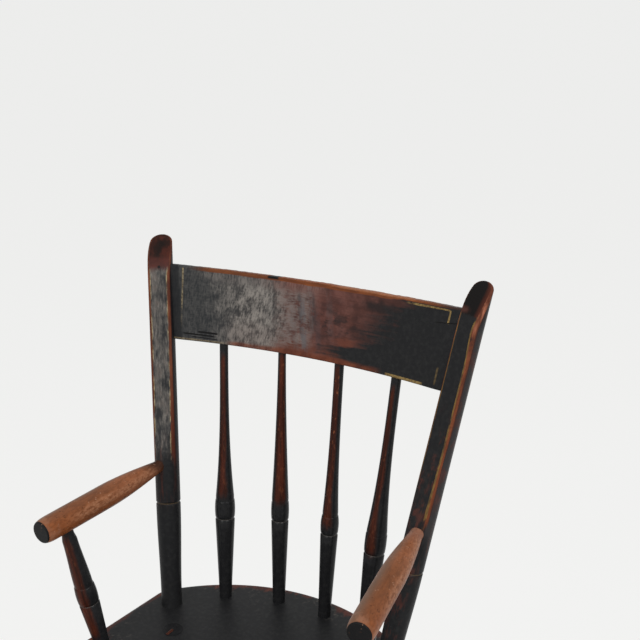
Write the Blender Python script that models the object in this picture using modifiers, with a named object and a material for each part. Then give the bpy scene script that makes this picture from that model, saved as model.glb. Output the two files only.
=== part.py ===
"""Thumb-back high chair: turned legs, posts, spindles and arms set in a shaped plank seat.

Metres, +Z up, the chair faces -Y. The origin is on the floor at the middle of the four feet.
Left is -X, the left hand of someone who looks at the chair from in front.
"""

import math

import bmesh
import bpy
from mathutils import Matrix, Vector

# Fits
FIT = 0.0003  # gap round every tenon, pin, wedge and nail

# Stance
SEAT_HEIGHT = 0.533  # floor to the top of the seat
FRONT_FOOT_SPREAD = 0.392  # between the centres of the front feet
REAR_FOOT_SPREAD = 0.372
FOOT_DEPTH = 0.398  # from the front feet's centres to the rear feet's

# Seat plank
SEAT_THICKNESS = 0.034
SEAT_FRONT_WIDTH = 0.342
SEAT_FRONT_REACH = 0.128  # from the origin to the middle of the front edge
SEAT_FRONT_BOW = 0.010
SEAT_FRONT_CORNER = 0.048  # radius of the front corners
SEAT_BACK_CORNER = 0.022
SEAT_MARGIN = 0.026  # wood behind the spindles
SEAT_BACK_ANGLE = math.radians(50)  # half the arc that the back edge runs through
SEAT_EDGE = 0.007  # rounding of the plank's edges
DISH_WIDTH = 0.256
DISH_LENGTH = 0.196
DISH_DEPTH = 0.009
DISH_POWER = 1.4  # above 1 the dish fades out softly at its rim
DISH_FROM_POSTS = 0.178  # from the line of the posts forward to the dish's middle

# Legs
LEG_DIAMETER = 0.0296  # at the two swellings
LEG_WAIST_DIAMETER = 0.0250
LEG_FOOT_DIAMETER = 0.0205
LEG_TENON_DIAMETER = 0.0200
LEG_UPPER_RING = 0.132  # below the seat's top, along the leg
LEG_LOWER_RING = 0.252  # above the floor, along the leg
LEG_NECK = 0.017  # bare tenon below the seat
FRONT_LEG_INSET = 0.059  # from the seat's side edge to the front leg's tenon
FRONT_LEG_SETBACK = 0.060  # from the seat's front edge to the front leg's tenon
REAR_LEG_INSET = 0.029  # from the post inwards to the rear leg's tenon
REAR_LEG_AHEAD = 0.038  # from the post forward to the rear leg's tenon
WEDGE_THICKNESS = 0.0032
WEDGE_TIP = 0.0010
WEDGE_LENGTH = 0.020

# Stretchers
SIDE_STRETCHER_HEIGHT = 0.208
FRONT_STRETCHER_HEIGHT = 0.150
REAR_STRETCHER_HEIGHT = 0.166
STRETCHER_DIAMETER = 0.0205
STRETCHER_TENON_DIAMETER = 0.0120
STRETCHER_SHORT_OF_AXIS = 0.002  # a tenon ends this far before the leg's axis

# Footrest
FOOTREST_HEIGHT = 0.300  # floor to the board's top
FOOTREST_THICKNESS = 0.014
FOOTREST_DEPTH = 0.080
FOOTREST_BEHIND_RUNG = 0.012
FOOTREST_PAST_LEG = 0.006  # board's end beyond the leg's axis
FOOTREST_CORNER = 0.022
FOOTREST_EDGE = 0.003
FOOTREST_RUNG_DIAMETER = 0.018
FOOTREST_NAIL_SPACING = 0.130
NAIL_DIAMETER = 0.0028
NAIL_HEAD_DIAMETER = 0.0064
NAIL_HEAD_TOP_DIAMETER = 0.0050
NAIL_HEAD_THICKNESS = 0.0012
NAIL_LENGTH = 0.022

# Back: heights run up the raked plane of the posts, from the seat's top
POST_SPACING = 0.2412  # between the posts' axes at the seat
POST_LINE = 0.091  # from the origin back to the posts at the seat
BACK_RAKE = math.radians(11.25)
POST_SPLAY = math.radians(7.65)
POST_DIAMETER = 0.0246  # at the ring
POST_FOOT_DIAMETER = 0.0208
POST_TENON_DEPTH = 0.025
POST_RING = 0.105
THUMB_TOP = 0.3755
THUMB_ROUND = 0.009  # height of the rounding at the tip
THUMB_START = 0.328  # where the flat begins to curve back
THUMB_CURVE = 0.0160  # how far back it has curved at the tip
THUMB_POWER = 1.85  # how late it curves
FLAT_START = 0.155  # lowest point of the flat, above the arm
FLAT_FULL = 0.275  # where the flat reaches its depth
FLAT_POWER = 4.0  # how blunt its lower end is
FLAT_OFFSET = 0.0066  # from the post's axis forward to the flat

# Crest rail
CREST_BOTTOM = 0.2715
CREST_HEIGHT = 0.0758
CREST_ARCH = 0.003  # rise of the lower edge at the middle
CREST_BOW = 0.0224  # of the front face, between the posts' axes
CREST_THICKNESS = 0.0125
CREST_END_THICKNESS = 0.0085
CREST_SETBACK = 0.0025  # front face behind the posts' flats
CREST_SHORT_OF_AXIS = 0.001
CREST_EDGE = 0.0012
CREST_PIN_DIAMETER = 0.005
CREST_PIN_INSET = 0.0055  # from the post's axis inwards to the pin
CREST_PIN_DEPTH = 0.014

# Spindles
SPINDLE_BEAD_DIAMETER = 0.0195
SPINDLE_BEAD_HEIGHT = 0.100  # up the spindle, from the seat's top
SPINDLE_TOP_SPACING = 0.0629
SPINDLE_SEAT_SPACING = 0.0532
SPINDLE_ARC_RADIUS = 0.165  # arc of the spindles' feet on the seat
SPINDLE_BOW = 0.0584  # from the posts back to the middle of that arc
SPINDLE_TOP_DIAMETER = 0.0080
SPINDLE_FOOT_DIAMETER = 0.0126
SPINDLE_TENON_DIAMETER = 0.0064
SPINDLE_TENON_DEPTH = 0.016
SPINDLE_SOCKET_DEPTH = 0.020

# Arms
ARM_HEIGHT = 0.1457  # up the post
ARM_LENGTH = 0.1637  # from the post's axis to the front end
ARM_SPLAY = math.radians(7.4)
ARM_FALL = math.radians(2.8)
ARM_DIAMETER = 0.0238
ARM_FULL_FROM = 0.088  # from the post's axis to where the arm is thickest
ARM_END_DIAMETER = 0.0190
ARM_TENON_DIAMETER = 0.0124
ARM_TENON_PAST_AXIS = 0.003
SUPPORT_FROM_END = 0.027  # from the arm's front end to the support's tenon
SUPPORT_LEAN = 0.016  # the support's foot is this far behind its top
SUPPORT_INSET = 0.022  # from the seat's side edge to the support's foot
SUPPORT_DIAMETER = 0.0205
SUPPORT_BEAD = 0.42  # share of its length up to the bead
SUPPORT_NECK_DIAMETER = 0.0140
SUPPORT_FOOT_DIAMETER = 0.0150
SUPPORT_TENON_DIAMETER = 0.0116
SUPPORT_SHORT_OF_AXIS = 0.008  # its tenon ends this far below the arm's axis
SUPPORT_SOCKET_DEPTH = 0.022

# Scored rings and beads shared by all the turnings
RING_WIDTH = 0.0032
RING_DEPTH = 0.0009
BEAD_HALF_HEIGHT = 0.0095
BEAD_SHOULDER = 0.96  # share of the bead's radius, at its V cut
BEAD_SHRINK = 0.93  # share of the bead's radius, at its top

# Turned by hand, each a little unlike the next
POST_TOP_SHARES = {-1: 1.028, 1: 0.955}  # of the post's diameter, below the thumb, left and right
SPINDLE_TURNINGS = (  # left to right: shares of the bead's diameter and height, power of the taper
    (1.051, 0.955, 2.75),
    (0.933, 1.000, 1.90),
    (0.928, 1.000, 2.60),
    (1.067, 1.020, 2.60),
)

# Facets
LEG_STEPS = 14
POST_STEPS = 20
ARM_STEPS = 18
SPINDLE_STEPS = 12
SPINDLE_TAPER_STEPS = 8
STRETCHER_STEPS = 12
PIN_STEPS = 10
NAIL_STEPS = 6
DISH_STEPS = 28
FILLET_STEPS = 6
BEND_STEPS = 16  # along the seat's back edge and along the crest
CURVE_STEPS = 6  # along a shaved or rounded face

# Colours, linear
BLACK_PAINT = (0.020, 0.019, 0.020)
WORN_PAINT = (0.060, 0.026, 0.018)
BARE_WOOD = (0.230, 0.085, 0.035)
OLD_IRON = (0.060, 0.050, 0.045)

LEFT, RIGHT = -1, 1
SIDE_NAMES = {LEFT: "left", RIGHT: "right"}
CUT_SPACE = 0.060  # how far a cutter reaches past what it cuts
SPARE = 0.015  # left on the ends of legs and wedges, to be trimmed level


# Scene and placing


def clear_scene():
    for obj in list(bpy.data.objects):
        bpy.data.objects.remove(obj)


def new_collection(name):
    collection = bpy.data.collections.new(name)
    bpy.context.scene.collection.children.link(collection)
    return collection


def new_empty(name, matrix, parent=None):
    empty = bpy.data.objects.new(name, None)
    bpy.data.collections["high_chair"].objects.link(empty)
    empty.parent = parent
    empty.matrix_basis = matrix
    return empty


def finish(obj, colour, roughness=0.45, metallic=0.0):
    material = bpy.data.materials.new(obj.name + "_finish")
    material.use_nodes = True
    shader = material.node_tree.nodes["Principled BSDF"]
    shader.inputs["Base Color"].default_value = (*colour, 1.0)
    shader.inputs["Roughness"].default_value = roughness
    shader.inputs["Metallic"].default_value = metallic
    obj.data.materials.append(material)


def axis_frame(start, end, back=None):
    """A matrix at start whose Z runs to end and whose Y leans towards back, or else back or up."""
    along = (end - start).normalized()
    if back is None:
        lies_level = abs(along.y) > abs(along.z)
        back = Vector((0, 0, 1)) if lies_level else Vector((0, 1, 0))
    depth = (back - back.dot(along) * along).normalized()
    across = depth.cross(along)
    return Matrix.Translation(start) @ Matrix((across, depth, along)).transposed().to_4x4()


def place(obj, matrix, cutter, parent):
    collection = "high_chair_cutters" if cutter else "high_chair"
    bpy.data.collections[collection].objects.link(obj)
    obj.parent = parent
    obj.matrix_basis = matrix
    if cutter:
        obj.hide_render = True
        obj.display_type = "WIRE"
    return obj


# Shapes


def turned(name, profile, matrix, steps, cutter=False, parent=None):
    """A lathe turning: (radius, height) points from the bottom up, spun round the local Z."""
    points = [(radius, 0, height) for radius, height in reversed(profile)]
    mesh = bpy.data.meshes.new(name)
    mesh.from_pydata(points, [(i, i + 1) for i in range(len(points) - 1)], [])
    obj = place(bpy.data.objects.new(name, mesh), matrix, cutter, parent)
    spin = obj.modifiers.new("Turning", "SCREW")
    spin.steps = steps
    spin.render_steps = steps
    spin.use_merge_vertices = True
    spin.merge_threshold = 0.00001
    spin.use_smooth_shade = True
    return obj


def rod(name, start, end, diameter, steps, cutter=True, parent=None):
    """A straight round bar; as a cutter it needs the facets of what goes into its hole."""
    length = (end - start).length
    radius = diameter / 2
    profile = [(0, 0), (radius, 0), (radius, length), (0, length)]
    return turned(name, profile, axis_frame(start, end), steps, cutter, parent)


def plate(name, outline, thickness, matrix, cutter=False, parent=None):
    """A flat outline in the local XY plane, with half its thickness on each side."""
    curve = bpy.data.curves.new(name, "CURVE")
    curve.dimensions = "2D"
    curve.fill_mode = "BOTH"
    curve.extrude = thickness / 2
    spline = curve.splines.new("POLY")
    spline.points.add(len(outline) - 1)
    spline.use_cyclic_u = True
    for point, (x, y) in zip(spline.points, outline):
        point.co = (x, y, 0, 1)
    guide = bpy.data.objects.new(name + "_outline", curve)
    bpy.context.scene.collection.objects.link(guide)
    graph = bpy.context.evaluated_depsgraph_get()
    mesh = bpy.data.meshes.new_from_object(guide.evaluated_get(graph))
    bpy.data.objects.remove(guide)
    mesh.name = name
    shape = bmesh.new()
    shape.from_mesh(mesh)
    bmesh.ops.remove_doubles(shape, verts=shape.verts, dist=0.000001)
    bmesh.ops.dissolve_limit(
        shape, angle_limit=math.radians(0.2), verts=shape.verts, edges=shape.edges
    )
    bmesh.ops.recalc_face_normals(shape, faces=shape.faces)
    shape.to_mesh(mesh)
    shape.free()
    return place(bpy.data.objects.new(name, mesh), matrix, cutter, parent)


def block(name, lowest, highest):
    """A box cutter between two corners."""
    mesh = bpy.data.meshes.new(name)
    shape = bmesh.new()
    bmesh.ops.create_cube(shape, size=1)
    bmesh.ops.scale(shape, vec=highest - lowest, verts=shape.verts)
    shape.to_mesh(mesh)
    shape.free()
    middle = Matrix.Translation((lowest + highest) / 2)
    return place(bpy.data.objects.new(name, mesh), middle, True, None)


def cut(obj, cutter, operation="DIFFERENCE"):
    modifier = obj.modifiers.new(cutter.name, "BOOLEAN")
    modifier.object = cutter
    modifier.operation = operation


def soften(obj, width, segments=2):
    bevel = obj.modifiers.new("Rounded edges", "BEVEL")
    bevel.width = width
    bevel.segments = segments
    bevel.limit_method = "ANGLE"
    bevel.angle_limit = math.radians(40)


def filleted(corners, steps=FILLET_STEPS):
    """The closed outline through (x, y, radius) corners, each rounded by an arc of its radius."""
    outline = []
    for i, (x, y, radius) in enumerate(corners):
        here = Vector((x, y))
        if radius == 0:
            outline.append(tuple(here))
            continue
        before = (Vector(corners[i - 1][:2]) - here).normalized()
        after = (Vector(corners[(i + 1) % len(corners)][:2]) - here).normalized()
        half_angle = before.angle(after) / 2
        centre = here + (before + after).normalized() * radius / math.sin(half_angle)
        first = here + before * radius / math.tan(half_angle) - centre
        last = here + after * radius / math.tan(half_angle) - centre
        turn = first.angle_signed(last)
        for step in range(steps + 1):
            spoke = Matrix.Rotation(-turn * step / steps, 2) @ first
            outline.append(tuple(centre + spoke))
    return outline


# Turned profiles, all from the bottom up


def swell(profile, radius, height, count=5):
    """Runs the profile on to a new radius in a smooth half wave."""
    last_radius, last_height = profile[-1]
    for step in range(1, count + 1):
        share = step / count
        ease = (1 - math.cos(math.pi * share)) / 2
        profile.append(
            (
                last_radius + (radius - last_radius) * ease,
                last_height + (height - last_height) * share,
            )
        )


def score(profile, radius, height):
    """Adds a V cut round the turning."""
    profile.append((radius, height - RING_WIDTH / 2))
    profile.append((radius - RING_DEPTH, height))
    profile.append((radius, height + RING_WIDTH / 2))


def leg_profile(length):
    full, waist = LEG_DIAMETER / 2, LEG_WAIST_DIAMETER / 2
    tenon = LEG_TENON_DIAMETER / 2
    upper = length - LEG_UPPER_RING
    neck = length - SEAT_THICKNESS - LEG_NECK
    profile = [(0, -SPARE), (LEG_FOOT_DIAMETER / 2, -SPARE), (LEG_FOOT_DIAMETER / 2, 0)]
    swell(profile, full, LEG_LOWER_RING - RING_WIDTH, 5)
    score(profile, full, LEG_LOWER_RING)
    swell(profile, waist, (LEG_LOWER_RING + upper) / 2, 3)
    swell(profile, full, upper - RING_WIDTH, 3)
    score(profile, full, upper)
    swell(profile, tenon, neck, 4)
    profile += [(tenon, length + SPARE), (0, length + SPARE)]
    return profile


def leg_radius(length, height):
    """The leg's radius at a height along it, read from its profile."""
    points = leg_profile(length)
    for (low_radius, low), (high_radius, high) in zip(points, points[1:]):
        if low <= height < high:
            return low_radius + (high_radius - low_radius) * (height - low) / (high - low)
    return points[-2][0]


def stretcher_profile(length):
    tenon, full = STRETCHER_TENON_DIAMETER / 2, STRETCHER_DIAMETER / 2
    bare = LEG_DIAMETER / 2
    middle = length / 2
    profile = [(0, 0), (tenon, 0), (tenon, bare)]
    swell(profile, full, middle - BEAD_HALF_HEIGHT - RING_WIDTH, 4)
    score(profile, full, middle - BEAD_HALF_HEIGHT)
    score(profile, full, middle + BEAD_HALF_HEIGHT)
    profile.append((full, middle + BEAD_HALF_HEIGHT + RING_WIDTH))
    swell(profile, tenon, length - bare, 4)
    profile += [(tenon, length), (0, length)]
    return profile


def rung_profile(length):
    """The footrest's rung: straight where the board lies on it."""
    tenon, full = STRETCHER_TENON_DIAMETER / 2, FOOTREST_RUNG_DIAMETER / 2
    bare = LEG_DIAMETER / 2
    straight = 2 * LEG_DIAMETER
    profile = [(0, 0), (tenon, 0), (tenon, bare)]
    swell(profile, full, straight, 4)
    profile.append((full, length - straight))
    swell(profile, tenon, length - bare, 4)
    profile += [(tenon, length), (0, length)]
    return profile


def bead(profile, radius, height):
    """A shoulder, a V cut and a bead whose widest point is at the height."""
    shoulder = height - BEAD_HALF_HEIGHT - RING_WIDTH / 2
    profile.append((radius * BEAD_SHOULDER, shoulder))
    profile.append((radius * BEAD_SHOULDER - RING_DEPTH, shoulder + RING_WIDTH / 2))
    profile.append((radius * BEAD_SHOULDER, shoulder + RING_WIDTH))
    profile.append((radius, height - BEAD_HALF_HEIGHT / 4))
    profile.append((radius, height + BEAD_HALF_HEIGHT / 4))
    profile.append((radius * BEAD_SHRINK, height + BEAD_HALF_HEIGHT))


def spindle_profile(length, turning):
    diameter_share, height_share, power = turning
    foot, tenon = SPINDLE_FOOT_DIAMETER / 2, SPINDLE_TENON_DIAMETER / 2
    slim = SPINDLE_TOP_DIAMETER / 2
    collar = SPINDLE_TOP_DIAMETER
    profile = [(0, -SPINDLE_SOCKET_DEPTH), (foot, -SPINDLE_SOCKET_DEPTH), (foot, RING_WIDTH)]
    bead(profile, diameter_share * SPINDLE_BEAD_DIAMETER / 2, height_share * SPINDLE_BEAD_HEIGHT)
    thick, start = profile[-1]
    for step in range(1, SPINDLE_TAPER_STEPS + 1):
        share = step / SPINDLE_TAPER_STEPS
        radius = slim + (thick - slim) * (1 - share) ** power
        profile.append((radius, start + (length - collar - start) * share))
    profile.append((tenon, length - collar / 4))
    profile += [(tenon, length + SPINDLE_TENON_DEPTH), (0, length + SPINDLE_TENON_DEPTH)]
    return profile


def post_profile(side):
    """Heights up the raked plane become longer lengths along the splayed post."""
    scale = 1 / math.cos(POST_SPLAY)
    foot, full = POST_FOOT_DIAMETER / 2, POST_DIAMETER / 2
    slim = full * POST_TOP_SHARES[side]
    top, ring = THUMB_TOP * scale, POST_RING * scale
    profile = [(0, -POST_TENON_DEPTH), (foot, -POST_TENON_DEPTH), (foot, 2 * RING_WIDTH)]
    swell(profile, full, ring - RING_WIDTH, 5)
    score(profile, full, ring)
    profile.append((slim, THUMB_START * scale))
    profile.append((slim, top - THUMB_ROUND))
    for step in range(1, CURVE_STEPS):
        angle = math.pi / 2 * step / CURVE_STEPS
        profile.append((slim * math.cos(angle), top - THUMB_ROUND * (1 - math.sin(angle))))
    profile.append((0, top))
    return profile


def arm_profile():
    tenon, full, end = ARM_TENON_DIAMETER / 2, ARM_DIAMETER / 2, ARM_END_DIAMETER / 2
    clear_of_post = POST_DIAMETER / 2 + RING_WIDTH
    profile = [(0, -ARM_TENON_PAST_AXIS), (tenon, -ARM_TENON_PAST_AXIS), (tenon, clear_of_post)]
    for step in range(1, CURVE_STEPS + 1):
        share = step / CURVE_STEPS
        radius = tenon + (full - tenon) * math.sin(math.pi / 2 * share)
        profile.append((radius, clear_of_post + (ARM_FULL_FROM - clear_of_post) * share))
    profile.append((full, ARM_LENGTH - full))
    for step in range(1, CURVE_STEPS // 2 + 1):
        angle = math.pi * step / CURVE_STEPS
        radius = end + (full - end) * math.cos(angle)
        profile.append((radius, ARM_LENGTH - full * (1 - math.sin(angle))))
    profile.append((0, ARM_LENGTH))
    return profile


def support_profile(length):
    foot, tenon = SUPPORT_FOOT_DIAMETER / 2, SUPPORT_TENON_DIAMETER / 2
    bare = length - ARM_DIAMETER / 2 - tenon / 2
    profile = [(0, -SUPPORT_SOCKET_DEPTH), (foot, -SUPPORT_SOCKET_DEPTH), (foot, foot)]
    bead(profile, SUPPORT_DIAMETER / 2, SUPPORT_BEAD * length)
    swell(profile, SUPPORT_NECK_DIAMETER / 2, bare - tenon, 5)
    profile.append((tenon, bare))
    end = length - SUPPORT_SHORT_OF_AXIS
    profile += [(tenon, end), (0, end)]
    return profile


# Where the pieces meet


def back_matrix():
    """The raked plane of the posts: X across, Z up the back, Y behind it."""
    lift = Matrix.Translation((0, POST_LINE, SEAT_HEIGHT))
    return lift @ Matrix.Rotation(-BACK_RAKE, 4, "X")


def post_x(height):
    """The post's axis at a height up the raked plane."""
    return POST_SPACING / 2 + height * math.tan(POST_SPLAY)


def seat_side_x(y):
    """The seat's side edge: straight from the back corner to the front corner."""
    back_x, back_y = seat_back_point(SEAT_BACK_ANGLE)
    front_x, front_y = SEAT_FRONT_WIDTH / 2, SEAT_FRONT_BOW - SEAT_FRONT_REACH
    return front_x + (back_x - front_x) * (y - front_y) / (back_y - front_y)


def seat_back_point(angle):
    """A point of the seat's back edge, which runs parallel to the arc of the spindles."""
    radius = SPINDLE_ARC_RADIUS + SEAT_MARGIN
    middle = POST_LINE + SPINDLE_BOW - SPINDLE_ARC_RADIUS
    return radius * math.sin(angle), middle + radius * math.cos(angle)


def leg_ends(front, side):
    """The leg's axis on the floor and at the seat's top."""
    if front:
        foot = Vector((side * FRONT_FOOT_SPREAD / 2, -FOOT_DEPTH / 2, 0))
        y = FRONT_LEG_SETBACK - SEAT_FRONT_REACH
        x = seat_side_x(y) - FRONT_LEG_INSET
    else:
        foot = Vector((side * REAR_FOOT_SPREAD / 2, FOOT_DEPTH / 2, 0))
        y = POST_LINE - REAR_LEG_AHEAD
        x = POST_SPACING / 2 - REAR_LEG_INSET
    return foot, Vector((side * x, y, SEAT_HEIGHT))


def leg_at(front, side, height):
    foot, top = leg_ends(front, side)
    return foot.lerp(top, height / SEAT_HEIGHT)


def crest_faces():
    """The bend of the crest's front and back: for each, its radius and its y at the middle."""
    span = post_x(CREST_BOTTOM + CREST_HEIGHT / 2)
    turn = crest_end_turn()
    front_end = -(FLAT_OFFSET - CREST_SETBACK) / math.cos(turn)
    front_middle = front_end + CREST_BOW
    front_radius = (span**2 + CREST_BOW**2) / (2 * CREST_BOW)
    back_middle = front_middle + CREST_THICKNESS
    back_bow = back_middle - front_end - CREST_END_THICKNESS / math.cos(turn)
    back_radius = (span**2 + back_bow**2) / (2 * back_bow)
    return (front_radius, front_middle), (back_radius, back_middle)


def crest_end_turn():
    """How far the crest's ends, and so the posts' flats, turn to face inwards."""
    return 2 * math.atan(CREST_BOW / post_x(CREST_BOTTOM + CREST_HEIGHT / 2))


def arc_y(face, x):
    radius, middle = face
    return middle - radius + math.sqrt(radius**2 - x**2)


def crest_middle_y(x):
    front, back = crest_faces()
    return (arc_y(front, x) + arc_y(back, x)) / 2


def arm_axis(side):
    """The arm's line from the post's axis to its front end."""
    joint = back_matrix() @ Vector((side * post_x(ARM_HEIGHT), 0, ARM_HEIGHT))
    level = math.cos(ARM_FALL)
    way = Vector((side * level * math.sin(ARM_SPLAY), -level * math.cos(ARM_SPLAY), -math.sin(ARM_FALL)))
    return joint, joint + ARM_LENGTH * way


def support_axis(side):
    """The arm support's line from the seat's top to the arm's axis."""
    joint, end = arm_axis(side)
    top = end.lerp(joint, SUPPORT_FROM_END / ARM_LENGTH)
    y = top.y + SUPPORT_LEAN
    return Vector((side * (seat_side_x(y) - SUPPORT_INSET), y, SEAT_HEIGHT)), top


def spindle_axis(place_number):
    """The spindle's line from the seat's top to the crest's lower edge; places run from -1.5 to 1.5."""
    x = SPINDLE_SEAT_SPACING * place_number
    drop = SPINDLE_ARC_RADIUS - math.sqrt(SPINDLE_ARC_RADIUS**2 - x**2)
    foot = Vector((x, POST_LINE + SPINDLE_BOW - drop, SEAT_HEIGHT))
    top_x = SPINDLE_TOP_SPACING * place_number
    top = Vector((top_x, crest_middle_y(top_x), crest_bottom(top_x)))
    return foot, back_matrix() @ top


def crest_bottom(x):
    span = post_x(CREST_BOTTOM)
    return CREST_BOTTOM + CREST_ARCH * (1 - (x / span) ** 2)


# Pieces


def make_seat(parent):
    corners = []
    for step in range(BEND_STEPS + 1):
        angle = SEAT_BACK_ANGLE * (1 - 2 * step / BEND_STEPS)
        x, y = seat_back_point(angle)
        corners.append((x, y, SEAT_BACK_CORNER if step in (0, BEND_STEPS) else 0))
    front = SEAT_FRONT_BOW - SEAT_FRONT_REACH
    corners.append((-SEAT_FRONT_WIDTH / 2, front, SEAT_FRONT_CORNER))
    corners.append((0, -SEAT_FRONT_REACH, SEAT_FRONT_WIDTH))
    corners.append((SEAT_FRONT_WIDTH / 2, front, SEAT_FRONT_CORNER))
    level = Matrix.Translation((0, 0, SEAT_HEIGHT - SEAT_THICKNESS / 2))
    seat = plate("seat", filleted(corners), SEAT_THICKNESS, level, parent=parent)
    soften(seat, SEAT_EDGE)
    finish(seat, BLACK_PAINT)
    return seat


def make_dish():
    """The hollow of the seat: an oval bowl, as a cutter."""
    profile = [(0, -DISH_DEPTH)]
    for step in range(1, CURVE_STEPS + 1):
        share = step / CURVE_STEPS
        profile.append((share / 2, -DISH_DEPTH * (1 - share**2) ** DISH_POWER))
    profile += [(0.5, CUT_SPACE), (0, CUT_SPACE)]
    middle = Matrix.Translation((0, POST_LINE - DISH_FROM_POSTS, SEAT_HEIGHT))
    oval = Matrix.Diagonal((DISH_WIDTH, DISH_LENGTH, 1, 1))
    return turned("dish_cutter", profile, middle @ oval, DISH_STEPS, cutter=True)


def make_trims(dish):
    """Cutters for all that is below the floor, above the seat and in the seat's dish."""
    reach = FRONT_FOOT_SPREAD + FOOT_DEPTH
    below = block("floor_cutter", Vector((-reach, -reach, -CUT_SPACE)), Vector((reach, reach, 0)))
    high = SEAT_HEIGHT + CUT_SPACE
    above = block(
        "seat_top_cutter", Vector((-reach, -reach, SEAT_HEIGHT)), Vector((reach, reach, high))
    )
    return below, above, dish


def make_leg(front, side, parent, seat, trims):
    name = f"{'front' if front else 'rear'}_{SIDE_NAMES[side]}_leg"
    foot, top = leg_ends(front, side)
    length = (top - foot).length
    leg = turned(name, leg_profile(length), axis_frame(foot, top), LEG_STEPS, parent=parent)
    finish(leg, BLACK_PAINT)
    along = (top - foot).normalized()
    socket = rod(
        name + "_socket_cutter",
        top - along * (SEAT_THICKNESS + CUT_SPACE),
        top + along * CUT_SPACE,
        LEG_TENON_DIAMETER + 2 * FIT,
        LEG_STEPS,
    )
    cut(seat, socket)
    wedge = make_wedge(name, leg, top, along, parent)
    for trim in trims:
        cut(leg, trim)
        cut(wedge, trim)
    return leg


def wedge_outline(grow):
    """The wedge's taper in its local X and Y, the tip down; it runs on above the tenon to be trimmed."""
    slope = (WEDGE_THICKNESS - WEDGE_TIP) / WEDGE_LENGTH
    top = SPARE + grow
    half_top = WEDGE_THICKNESS / 2 + slope * top / 2 + grow
    half_tip = WEDGE_TIP / 2 + grow
    return [
        (-half_top, top),
        (-half_tip, -WEDGE_LENGTH - grow),
        (half_tip, -WEDGE_LENGTH - grow),
        (half_top, top),
    ]


def make_wedge(name, leg, top, along, parent):
    """A wedge across the seat's grain, in a slot in the leg's tenon."""
    frame = axis_frame(top, top + along)
    upright = frame @ Matrix.Rotation(math.radians(90), 4, "X")
    span = LEG_TENON_DIAMETER - 2 * WEDGE_TIP
    wedge = plate(name + "_wedge", wedge_outline(0), span, upright, parent=parent)
    slot_span = LEG_TENON_DIAMETER + 2 * FIT
    slot = plate(name + "_slot_cutter", wedge_outline(FIT), slot_span, upright, cutter=True)
    cut(leg, slot)
    finish(wedge, WORN_PAINT)
    return wedge


def make_stretcher(name, start, end, legs, profile_of, parent):
    """A rung between two legs' axes, with its tenons in their mortises."""
    along = (end - start).normalized()
    start = start + along * STRETCHER_SHORT_OF_AXIS
    end = end - along * STRETCHER_SHORT_OF_AXIS
    profile = profile_of((end - start).length)
    stretcher = turned(name, profile, axis_frame(start, end), STRETCHER_STEPS, parent=parent)
    finish(stretcher, BLACK_PAINT)
    mortise = rod(
        name + "_mortise_cutter",
        start - along * FIT,
        end + along * FIT,
        STRETCHER_TENON_DIAMETER + 2 * FIT,
        STRETCHER_STEPS,
    )
    for leg in legs:
        cut(leg, mortise)
    return stretcher


def make_stretchers(legs, parent):
    for side in (LEFT, RIGHT):
        make_stretcher(
            SIDE_NAMES[side] + "_side_stretcher",
            leg_at(True, side, SIDE_STRETCHER_HEIGHT),
            leg_at(False, side, SIDE_STRETCHER_HEIGHT),
            [legs[True, side], legs[False, side]],
            stretcher_profile,
            parent,
        )
    for front, height in ((True, FRONT_STRETCHER_HEIGHT), (False, REAR_STRETCHER_HEIGHT)):
        make_stretcher(
            ("front" if front else "rear") + "_stretcher",
            leg_at(front, LEFT, height),
            leg_at(front, RIGHT, height),
            [legs[front, LEFT], legs[front, RIGHT]],
            stretcher_profile,
            parent,
        )


def make_footrest(legs, parent):
    """A board on its own rung, its rear corners cut round the front legs."""
    rung_height = FOOTREST_HEIGHT - FOOTREST_THICKNESS - FIT - FOOTREST_RUNG_DIAMETER / 2
    rung = make_stretcher(
        "footrest_rung",
        leg_at(True, LEFT, rung_height),
        leg_at(True, RIGHT, rung_height),
        [legs[True, LEFT], legs[True, RIGHT]],
        rung_profile,
        parent,
    )
    middle_height = FOOTREST_HEIGHT - FOOTREST_THICKNESS / 2
    leg_middle = leg_at(True, RIGHT, middle_height)
    half = leg_middle.x + FOOTREST_PAST_LEG
    rung_y = leg_at(True, RIGHT, rung_height).y
    back = rung_y + FOOTREST_BEHIND_RUNG
    front = back - FOOTREST_DEPTH
    corners = [
        (half, back, 0),
        (-half, back, 0),
        (-half, front, FOOTREST_CORNER),
        (half, front, FOOTREST_CORNER),
    ]
    level = Matrix.Translation((0, 0, middle_height))
    board = plate("footrest", filleted(corners), FOOTREST_THICKNESS, level, parent=parent)
    soften(board, FOOTREST_EDGE)
    finish(board, BLACK_PAINT)
    for side in (LEFT, RIGHT):
        foot, top = leg_ends(True, side)
        length = (top - foot).length
        heights = (FOOTREST_HEIGHT - FOOTREST_THICKNESS, middle_height, FOOTREST_HEIGHT)
        widest = max(leg_radius(length, length * height / SEAT_HEIGHT) for height in heights)
        notch_name = SIDE_NAMES[side] + "_notch_cutter"
        notch = rod(notch_name, foot, top, 2 * widest + 4 * FIT, LEG_STEPS)
        cut(board, notch)
        make_nail(side, rung_y, board, rung, parent)


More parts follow.
